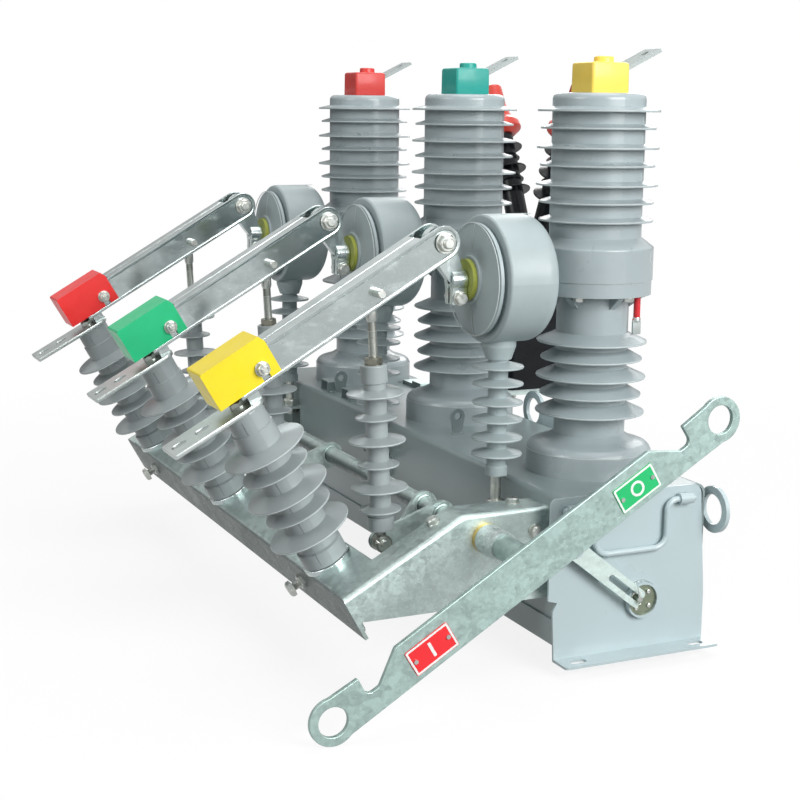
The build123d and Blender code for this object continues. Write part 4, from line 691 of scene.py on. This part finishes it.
# Tank, interlock, poles and transformer
ROOF = 190.0
END_FACE = 460.0
DISC_FACE = END_FACE + 3.9
DISC = (2.0, 61.0)
DISC_PIN = (-10.5, 67.0)
FORK_STUD = (-94.0, 132.5)
COLLAR = 402.0
DRUM_Z = 423.0
DRUM_FRONT = -158.25
LEG_Y = -124.8
PARTING = (38.0, 218.0)
HOOD_LOW = 632.5
HOOD_X = 48.0
HOOD_Y = 50.0
KNOB_PLACE = 4.0
TRANSFORMER = (-170.0, 204.0)
TRANSFORMER_TOP = 357.0


def along(start, turn, forward, across=0.0):
    """(y, z) reached from start along a turn measured from +Y towards +Z."""
    y = start[0] + forward * cos(turn) - across * sin(turn)
    z = start[1] + forward * sin(turn) + across * cos(turn)
    return y, z


def on_blade(forward, across=0.0):
    return along(PIVOT, BLADE_SLOPE, -forward, across)


def on_lever(forward, across=0.0):
    return along(SHAFT, LEVER_TURN, forward, across)


def on_post(forward, down):
    return along(JAW, POST_LEAN, -forward, -down)


def on_frame(rearward, down):
    return along(FOLD, POST_LEAN, rearward, -down)


POST_UP = (0, -sin(POST_LEAN), cos(POST_LEAN))
POST_FORWARD = (0, -cos(POST_LEAN), -sin(POST_LEAN))
LEVER_AXES = ((0, cos(LEVER_TURN), sin(LEVER_TURN)), (0, -sin(LEVER_TURN), cos(LEVER_TURN)))
pull_top = on_blade(*PULL_PIN)
PULL_HEADING = (0, pull_top[0] - CRANK_PIN[0], pull_top[1] - CRANK_PIN[1])


# Fasteners
def bolt_stack(form, place, heading, flats, head, radius, stub, washer, thickness=1.8):
    """Washer, and a chamfered nut with its threaded stub or a bolt head, standing on a face."""
    edge = 0.3
    form.put(place, heading)
    form.lathe([(washer - edge, 0.0), (washer, edge), (washer, thickness - edge), (washer - edge, thickness)])
    form.hexagon(flats, head, thickness)
    top = thickness + head
    if stub:
        form.thread(radius, top - 0.5, top + stub)
    else:
        form.lathe([(flats * 0.42, top - 0.2), (flats * 0.4, top + 0.25)], 24)


def hinge_fasteners():
    """Hinge, clamp and jaw bolts, standing for their CAD node."""
    form = Form()
    for _, x in POLES:
        for sign in (-1, 1):
            place = (x + sign * (BLADE_OUT + 0.3), *PIVOT)
            stub = 4.0 if sign > 0 else 0.0
            bolt_stack(form, place, (sign, 0, 0), 18.0, 6.0, 6.0, stub, 12.0, 2.0)
            if sign > 0:
                form.lathe([(9.2, 1.9), (9.2, 3.3), (7.0, 3.3), (7.0, 1.9)], 24)
            place = (x + sign * CLAMP_HALF, *CLAMP_BOLT)
            bolt_stack(form, place, (sign, 0, 0), 13.0, 5.3, 4.0, 4.0 if sign < 0 else 0.0, 8.4)
        form.put((x, *PIVOT), (1, 0, 0)).lathe([(6.0, -BLADE_OUT - 0.3), (6.0, BLADE_OUT + 0.3)])
        form.put((x, *CLAMP_BOLT), (1, 0, 0)).lathe([(4.0, -CLAMP_HALF), (4.0, CLAMP_HALF)])
        y, z = on_post(2.0, 3.0)
        bolt_stack(form, (x, y, z), POST_UP, 16.0, 6.0, 5.0, 2.0, 9.0, 1.5)
        form.put((x, y, z), POST_UP).lathe([(5.0, -4.7), (5.0, 0.2)])
    form.object("disconnector_fasteners", "fastener", "breaker", "bolt_steel", ("disconnector_bolts",))


def flange_fasteners():
    form = Form()
    for _, x in POLES:
        for k in range(6):
            turn = radians(12 + 60 * k)
            place = (x + 57 * cos(turn), 57 * sin(turn), COLLAR)
            bolt_stack(form, place, (0, 0, -1), 13.0, 4.2, 4.0, 0.0, 8.0, 1.3)
            form.put(place, (0, 0, 1)).lathe([(4.0, -0.5), (4.0, 29.0)], 16)
    form.object("flange_fasteners", "fastener", "breaker", "bolt_steel", ("flange_bolts",))


def frame_fasteners():
    form = Form()
    for side in (-1, 1):
        x = side * 412.0
        for place, heading in (((x, -142.0, 177.5), (0, 0, 1)), ((x, *on_frame(136.0, 0)), POST_UP),
                               ((side * FRAME_END, -128.0, 150.0), (side, 0, 0))):
            bolt_stack(form, place, heading, 13.0, 5.0, 4.0, 0.0, 8.2, 1.0)
            form.put(place, heading).lathe([(4.0, -8.0), (4.0, 0.5)], 16)
    for x in (288.0, -322.0):
        form.put((x, *on_frame(0, 27.0)), POST_FORWARD).thread(5.0, -8.0, 14.2)
        form.hexagon(17.0, 6.0, 14.0)
        form.lathe([(6.4, 20.0), (6.0, 20.3)], 24)
        form.hexagon(16.0, 5.0, 0.0)
    form.object("frame_fasteners", "fastener", "breaker", "bolt_steel", ("frame_bolts",))


# Blades
def stadium(half, tip):
    """Outline of a bar: round about the pivot and square at the tip, as (along, across)."""
    angles = [radians(90 + 180 * k / 24) for k in range(25)]
    return [(half * cos(a), half * sin(a)) for a in angles] + [(tip, -half), (tip, half)]


def blade_bars(pole, x):
    """Both bars, dished inside a raised rim, with lips turned in along the straight edges."""
    faces = ((0.5, 16.5), (0.0, 17.0), (0.0, 20.0), (0.5, 20.4), (3.4, 20.5), (4.2, 20.1), (4.8, 19.3))
    form = Form()
    for side in (-1, 1):
        rings = []
        for inset, depth in faces:
            outline = stadium(BLADE_HALF - inset, BLADE_LENGTH - inset)
            points = [(x + side * depth, *on_blade(*point)) for point in outline]
            rings.append(points if side > 0 else points[::-1])
        form.loft(rings)
        for edge, tip, low, start in ((-1, 8.5, 16.0, 0.0), (1, 0.8, 16.6, 22.0)):
            lip = [(16.8, BLADE_HALF), (tip + 0.8, BLADE_HALF), (tip + 0.2, 18.6), (tip, 18.0),
                   (tip, low + 0.6), (tip + 0.5, low), (16.8, low)]
            rings = []
            for forward in (start, 230.0):
                rings.append([(x + side * depth, *on_blade(forward, edge * across)) for depth, across in lip])
            form.loft(rings if side * edge > 0 else rings[::-1])
    form.object(f"blade_bars_{pole}", "blade", f"blade_{pole}_body", "bright_plate", (f"blade_{pole}",))


def blade_fasteners(pole, x):
    """Pull pin and the bolt at the hood."""
    form = Form().put((x, *on_blade(*PULL_PIN)), (1, 0, 0))
    form.lathe([(7.0, -24.8), (8.0, -24.2), (8.0, -21.2), (7.6, -20.8), (5.0, -20.8), (5.0, 32.6),
                (4.2, 33.8)])
    y, z = on_blade(BLADE_BOLT)
    form.put((x, y, z), (1, 0, 0)).lathe([(4.0, -24.3), (4.0, 24.3)], 20)
    for sign in (-1, 1):
        place = (x + sign * (HOOD_OUT + 0.3), y, z)
        bolt_stack(form, place, (sign, 0, 0), 13.0, 6.5, 4.0, 2.9 if sign > 0 else 0.9, 8.5, 1.6)
    form.object(f"blade_fasteners_{pole}", "fastener", f"blade_{pole}_body", "bolt_steel", (f"blade_{pole}",))


# Line terminal plates
def line_plates():
    for pole, x in POLES:
        outlines = [rounded([(-24, -25, 14), (92, -25, 3), (92, 25, 3), (-24, 25, 14)])]
        for place in (78.0, 49.0):
            slot = [(-8.5, -6), (8.5, -6), (8.5, 6), (-8.5, 6)]
            outlines.append(rounded([(place + u, v, 5.99) for u, v in slot]))
        place = ((x, *on_post(0, 8.0)), POST_FORWARD, (1, 0, 0))
        plate(f"line_plate_{pole}", outlines, 5.0, place, "tinned", "breaker", "tinned_copper",
              ("line_terminals",))


# Terminal hoods
def top_hoods():
    """Hoods with eased edges, a hollow underneath, a round knob and a gap behind for the terminal plate."""
    steps = ((28.0, -2.6, 1.0), (0.0, -2.2, 1.0), (0.0, -0.3, 3.0), (0.6, 0.0, 3.4), (31.2, -0.3, 3.4),
             (33.2, -0.9, 3.4), (34.1, -2.0, 3.4), (34.5, -3.6, 3.4))
    for (pole, x), hue in zip(POLES, ("amber", "teal", "brick")):
        form = Form().put((x, 0, HOOD_LOW), (0, 0, 1), (1, 0, 0))
        rings = []
        for w, grow, corner in steps:
            outline = rectangle(HOOD_X / 2 + grow, HOOD_Y / 2 + grow, corner, 5)
            rings.append([(u, v, w) for u, v in outline])
        form.loft(rings)
        form.put((x, KNOB_PLACE, HOOD_LOW), (0, 0, 1), (1, 0, 0))
        form.lathe([(12.4, 34.0), (11.6, 34.9), (11.3, 40.2), (10.4, 41.3), (9.4, 41.5)], 40)
        hood = form.object(f"top_hood_{pole}", hue + "_top", "breaker", hue + "_cap", (f"top_cover_{pole}",))
        carve(hood, (x - 19.0, 18.0, HOOD_LOW + 18.5), (x + 19.0, 26.0, HOOD_LOW + 31.0))


# Hand lever with its plates
def lever_outline():
    """Bar with a ring and a hook at both ends, as (u, v) from the shaft."""
    half = 24.0
    ring = 25.5
    meet = LEVER_REACH - sqrt(ring * ring - half * half)

    def side_points(side):
        corners = [(0, half), (171.0, half, 6), (205.0, 0.0, 5), (220.5, 0.0, 7), (219.5, half - 2, 1.5),
                   (meet, half)]
        points = rounded(corners)
        first = atan2(half, meet - LEVER_REACH)
        for k in range(1, 32):
            turn = first - 2 * first * k / 32
            points.append((LEVER_REACH + ring * cos(turn), ring * sin(turn)))
        points.append((meet, -half))
        return [(side * u, v) for u, v in points]

    return side_points(1) + side_points(-1)[::-1]


def hand_lever():
    back = LEVER_FACE - LEVER_THICKNESS
    place = ((back, *SHAFT), *LEVER_AXES)
    outlines = [lever_outline(), circle(LEVER_REACH, 0, 16.0), circle(-LEVER_REACH, 0, 16.0)]
    plate("hand_lever_bar", outlines, LEVER_THICKNESS, place, "lever", "disconnector_drive", "galvanised",
          ("hand_lever",), 0.8)
    start = FRAME_END + 42.1
    form = Form().put((start, *SHAFT), (1, 0, 0))
    length = back - start
    form.lathe([(11.1, 0.0), (13.4, 0.0), (14.0, 0.6), (14.0, length + 0.5), (11.1, length + 0.5)], 40, True)
    form.object("hand_lever_sleeve", "lever", "disconnector_drive", "galvanised", ("hand_lever",))
    form = Form()
    ring_bead(form, (back, *SHAFT), 14.2, 2.4)
    form.object("hand_lever_weld", "weld", "disconnector_drive", "galvanised")


def ring_bead(form, centre, radius, size, start=0.0, end=360.0):
    """Weld bead around an axis along X."""
    form.put(centre, (1, 0, 0))
    count = max(8, int(abs(radians(end - start)) * radius / (size * BEAD_STEP)))
    full = end - start >= 360
    path = []
    sizes = []
    for k in range(count + 1):
        turn = radians(start + (end - start) * k / count)
        path.append((radius * cos(turn), radius * sin(turn), 0.0))
        taper = 1.0 if full or 0 < k < count else 0.5
        sizes.append(size * (1 + 0.1 * sin(k * 12.9898) + 0.1 * (k % 2)) * taper)
    form.tube(path, sizes)


def lever_labels():
    """White borders and plain marks on the coloured plates: a bar for closed, a ring for open."""
    border = [rectangle(26.6, 14.6, 1.4, 3), rectangle(24.4, 12.4, 0.8, 3)]
    ring = [circle(0, 0, 8.6), circle(0, 0, 5.8)]
    bar = [rectangle(1.7, 8.6, 0.6, 3)]
    for name, side, mark in (("open", 1, ring), ("close", -1, bar)):
        place = ((LEVER_FACE + 1.2, *on_lever(side * LABEL_REACH, -2.5)), *LEVER_AXES)
        for part, outlines in (("border", border), ("mark", mark)):
            plate(f"{name}_label_{part}", outlines, 0.24, place, "white", "disconnector_drive", bevel=0.05)


# Welds on the steelwork
def frame_welds():
    form = Form()
    for side in (-1, 1):
        x = side * 436.0
        for down in (8.0, 30.0):
            form.bead((x, *on_frame(4.5, down)), (x, *on_frame(4.5, down + 17.0)), 2.6)
        for low, high in ((78.0, 104.0), (138.0, 168.0)):
            form.bead((side * 416.5, -113.6, low), (side * 416.5, -113.6, high), 2.2)
    form.object("frame_welds", "weld", "breaker", "galvanised")


def shaft_welds():
    """Beads where the cranks and the stop arm meet the shaft."""
    form = Form()
    for x in [pole - 10.0 for _, pole in POLES] + [282.0]:
        for side in (-1, 1):
            ring_bead(form, (x + side * 3.2, *SHAFT), 11.4, 1.9)
    form.object("shaft_welds", "weld", "disconnector_drive", "galvanised")


def tank_welds():
    """Beads under the handle sleeves, the fork's stud, the roof lugs and the sockets."""
    form = Form()
    x = END_FACE + 0.3
    for low, high in ((46.0, 64.0), (-102.0, -84.0)):
        for z in (171.8, 180.2):
            form.bead((x, low, z), (x, high, z), 1.5)
    ring_bead(form, (x, *FORK_STUD), 7.4, 1.5)
    ring_bead(form, (x, *DISC), 21.2, 1.3)
    for middle, y, half in ((108.0, -58.0, 8.5), (-221.0, -88.0, 8.5)):
        for x in (middle - 2.3, middle + 2.3):
            form.bead((x, y - half, ROOF + 0.4), (x, y + half, ROOF + 0.4), 1.5)
    for middle in (-247.0, -167.0):
        for x in (middle - 14.3, middle + 14.3):
            form.bead((x, -101.0, ROOF + 0.5), (x, -81.0, ROOF + 0.5), 1.6)
    form.object("tank_welds", "tank", "breaker", "tank_paint")


def interlock_details():
    """Weld round the fork's stud, collars and split pin on the disc's pin, and the disc's screw heads."""
    form = Form()
    ring_bead(form, (END_FACE + 14.2, *FORK_STUD), 6.6, 1.8, 20.0, 330.0)
    form.object("fork_weld", "weld", "interlock_link", "galvanised")
    form = Form().put((DISC_FACE, *DISC_PIN), (1, 0, 0))
    form.lathe([(3.4, 0.0), (5.6, 0.0), (5.6, 1.4), (3.4, 1.4)], 24, True)
    form.lathe([(2.9, 13.6), (3.3, 14.0), (3.3, 15.2), (2.6, 15.9)], 24)
    pin = Form().put((DISC_FACE + 13.3, *DISC_PIN), (0, 0.1, -1), (1, 0, 0))
    pin.tube([(0, 0.4, 3.6), (0, 0.5, -2.0), (0.3, 1.0, -8.0), (0.8, 1.7, -16.0)], 0.55)
    pin.tube([(0, -0.4, 3.6), (0, -0.5, -2.0), (-0.3, -1.2, -5.0), (-1.0, -2.4, -7.6)], 0.55)
    pin.tube([(0, 1.5 * sin(radians(t)), 4.6 - 1.4 * cos(radians(t))) for t in range(20, 341, 20)], 0.6)
    for turn in (49.4, 229.4, 319.4):
        form.put((DISC_FACE, *along(DISC, radians(turn), 12.0)), (1, 0, 0))
        form.lathe([(3.1, 0.0), (3.1, 0.8), (2.6, 1.7), (1.3, 2.1), (0.9, 1.65)], 20)
    form.object("disc_pin_collars", "fastener", "interlock_knob", "bolt_steel")
    pin.object("disc_split_pin", "fastener", "interlock_knob", "bolt_steel")


def slot_spring():
    """Coil spring on the disc's pin, behind the fork's slot."""
    form = Form().put((DISC_FACE, *DISC_PIN), (1, 0, 0))
    path = []
    coils = 4
    for k in range(61):
        turn = 2 * pi * coils * k / 60
        path.append((4.3 * cos(turn), 4.3 * sin(turn), 0.9 + 4.6 * k / 60))
    form.tube(path, 0.55)
    form.object("slot_spring", "fastener", "interlock_knob", "bolt_steel")


def crank_split_pins():
    form = Form()
    for _, x in POLES:
        form.put((x + 10.4, *CRANK_PIN), (0, -0.94, 0.34), (1, 0, 0))
        form.tube([(0.3, 0, -7.0), (0.3, 0, 6.5), (0.8, 0, 10.5), (1.4, -0.4, 14.0)], 0.8)
        form.tube([(-0.3, 0, -7.0), (-0.3, 0, 6.5), (-1.4, 0.5, 9.0), (-2.8, 1.6, 11.5)], 0.8)
        form.tube([(0, 1.6 * sin(radians(t)), -8.2 + 1.6 * cos(radians(t))) for t in range(20, 341, 20)], 0.8)
    form.object("crank_split_pins", "fastener", "disconnector_drive", "bolt_steel")


# Insulator details
def shed_rim(form, radius, height, size=0.55, steps=72):
    form.lathe([(radius + size * cos(a), height + size * sin(a)) for a in turns(6)], steps, True)


# Height and rim radius of each shed
COLUMN_SHEDS = tuple(zip((71.0, 92.3, 113.5, 134.9, 155.3, 297.3, 318.2, 338.3, 360.2, 380.5, 402.7, 422.4),
                         (64.5, 59.7, 64.5, 59.7, 64.5, 66.2, 66.2, 70.4, 66.2, 70.4, 66.2, 70.4)))
POST_SHEDS = tuple(zip((59.9, 85.8, 114.8, 140.2, 168.0), (47.7, 38.8, 47.7, 38.8, 47.7)))
PULL_SHEDS = tuple(zip((39.8, 65.6, 92.1, 120.1, 146.6, 174.1), (23.5, 32.0, 23.5, 32.0, 23.5, 32.0)))


def mould_rims():
    """Thin flash left by the moulds round the sheds, collars, feet and drums, in a lighter colour that paints
    its highlight.
    """
    form = Form()
    for _, x in POLES:
        form.put((x, 0, ROOF), (0, 0, 1))
        for height, radius in COLUMN_SHEDS:
            shed_rim(form, radius, height)
        shed_rim(form, 67.5, 228.6, 0.5)
        shed_rim(form, 74.5, 26.0, 0.4)
        form.put((x, LEG_Y, ROOF), (0, 0, 1))
        for height in (28.4, 47.5, 69.0, 89.0, 111.0, 131.0):
            shed_rim(form, 29.4, height, 0.5, 48)
        form.put((x, 0, DRUM_Z), (0, -1, 0))
        shed_rim(form, 64.0, 160.6, 0.6)
    form.object("column_rims", "rim", "breaker", "insulator_resin")
    form = Form()
    for _, x in POLES:
        form.put((x, *on_post(0, POST_BASE)), POST_UP)
        for place, radius in POST_SHEDS:
            shed_rim(form, radius, POST_BASE - place, 0.55, 56)
    form.object("post_rims", "rim", "breaker", "insulator_silicone")
    for pole, x in POLES:
        form = Form().put((x, *CRANK_PIN), PULL_HEADING)
        for place, radius in PULL_SHEDS:
            shed_rim(form, radius, place, 0.5, 48)
        form.object(f"pull_rims_{pole}", "rim", f"pull_rod_{pole}", "insulator_silicone")


def mould_seams():
    """Parting lines on the drums' front discs and along their tops, in a lighter colour that paints their
    highlight.
    """
    inner, outer = 31.0, 63.8
    form = Form()
    for _, x in POLES:
        form.put((x, DRUM_FRONT, DRUM_Z), (0, -1, 0), (1, 0, 0))
        for a in (radians(91.0), radians(271.0)):
            ends = [(inner * cos(a), inner * sin(a), 3.9), (outer * cos(a), outer * sin(a), 0.3)]
            form.tube(ends, 0.42, 6)
        form.put((x, -89.0, DRUM_Z), (0, 0, 1))
        form.tube([(0, -61.0, 73.1), (0, 2.0, 73.1)], 0.4, 6)
    form.object("drum_seams", "rim", "breaker", "insulator_resin")


def core_seams(form, spans, radius, angles, size=0.35):
    """Parting lines along an insulator's core, in the spans between its sheds."""
    for angle in angles:
        u, v = radius * cos(radians(angle)), radius * sin(radians(angle))
        for low, high in spans:
            middle = (low + high) / 2
            form.tube([(u, v, low), (u * 0.999, v * 0.999, middle), (u, v, high)], size, 6)


def insulator_seams():
    form = Form()
    for _, x in POLES:
        form.put((x, 0, ROOF), (0, 0, 1))
        heights = [height for height, _ in COLUMN_SHEDS[5:]]
        core_seams(form, [(a + 3.0, b - 7.0) for a, b in zip(heights, heights[1:])], 53.8, PARTING)
        core_seams(form, [(250.0, 262.0)], 68.6, PARTING)
        heights = [height for height, _ in COLUMN_SHEDS[:5]]
        core_seams(form, [(a + 3.0, b - 12.0) for a, b in zip(heights, heights[1:])], 42.4, PARTING)
    # The column seams take the lighter rim colour as a painted highlight
    form.object("column_seams", "rim", "breaker", "insulator_resin")
    form = Form()
    for _, x in POLES:
        form.put((x, *on_post(0, POST_BASE)), POST_UP)
        for low, high, radius in ((10.0, 42.0, 26.7), (50.0, 70.0, 24.0), (78.0, 94.0, 24.0),
                                  (104.0, 124.0, 24.0), (132.0, 150.0, 24.0), (160.0, 200.0, 22.6)):
            core_seams(form, [(low, high)], radius, (-30.0, 150.0), 0.4)
    form.object("post_seams", "dark_seam", "breaker", "insulator_silicone")


# Rods with threads and their nuts
def pull_rod_nuts():
    top = hypot(*PULL_HEADING)
    for pole, x in POLES:
        form = Form().put((x, *CRANK_PIN), PULL_HEADING)
        form.hexagon(17.6, 8.3, 207.2)
        form.lathe([(10.2, 206.9), (10.2, 207.6)], 24)
        form.object(f"pull_rod_nut_{pole}", "dark_nut", f"pull_rod_{pole}", "bolt_steel")
        form = Form().put((x, *CRANK_PIN), PULL_HEADING)
        form.thread(5.25, 215.0, 246.0, 1.4)
        form.lathe([(5.2, top - 34), (6.6, top - 30), (6.6, top - 12), (5.6, top - 9)], 24)
        form.object(f"pull_rod_thread_{pole}", "fastener", f"pull_rod_{pole}", "bolt_steel")


def leg_rod_details():
    form = Form()
    for _, x in POLES:
        form.put((x, LEG_Y, 0), (0, 0, 1))
        form.thread(6.2, 140.5, 186.0, 1.6)
        form.lathe([(12.5, 154.1), (12.5, 155.9), (6.3, 155.9), (6.3, 154.1)], 28, True)
        form.hexagon(19.6, 7.4, 155.9)
    form.object("leg_rod_threads", "fastener", "breaker", "bolt_steel")


def lead_lug():
    """Tinned lug end crimped on the red lead."""
    form = Form().put((379.8, 35.8, COLLAR - 46.0), (0, 0, 1))
    form.loft([[(u * s, v * s, w) for u, v in ((-1.5, -5.3), (1.5, -5.3), (1.5, 5.3), (-1.5, 5.3))]
               for w, s in ((-0.4, 0.85), (0.4, 1.0), (14.5, 1.0), (17.0, 0.9))])
    form.lathe([(4.3, 14.0), (4.5, 15.0), (4.5, 19.0), (4.2, 19.6)], 20)
    form.object("lead_lug_tinning", "tinned", "breaker", "tinned_copper")


def transformer_details():
    """Foot bolts and the rims of the bushings' sheds."""
    form = Form()
    for dx in (-45.0, 45.0):
        for y in (TRANSFORMER[1] - 52.0, TRANSFORMER[1] + 52.0):
            bolt_stack(form, (TRANSFORMER[0] + dx, y, ROOF), (0, 0, -1), 13.0, 5.0, 4.0, 3.0, 8.0, 1.2)
    form.object("transformer_fasteners", "fastener", "breaker", "bolt_steel")
    form = Form()
    lean = radians(24.8)
    for side in (-1, 1):
        form.put((*TRANSFORMER, TRANSFORMER_TOP), (side * sin(lean), 0, cos(lean)))
        for place, radius in zip((145.0, 162.0, 180.0, 197.0, 215.0), (28.0, 21.0, 28.0, 21.0, 28.0)):
            shed_rim(form, radius, place, 0.5, 40)
    form.object("transformer_rims", "black", "breaker", "black_resin")


place_camera()
studio()
hinge_fasteners()
flange_fasteners()
frame_fasteners()
for pole, x in POLES:
    blade_bars(pole, x)
    blade_fasteners(pole, x)
line_plates()
top_hoods()
hand_lever()
lever_labels()
frame_welds()
shaft_welds()
tank_welds()
interlock_details()
slot_spring()
crank_split_pins()
mould_rims()
mould_seams()
insulator_seams()
pull_rod_nuts()
leg_rod_details()
lead_lug()
transformer_details()
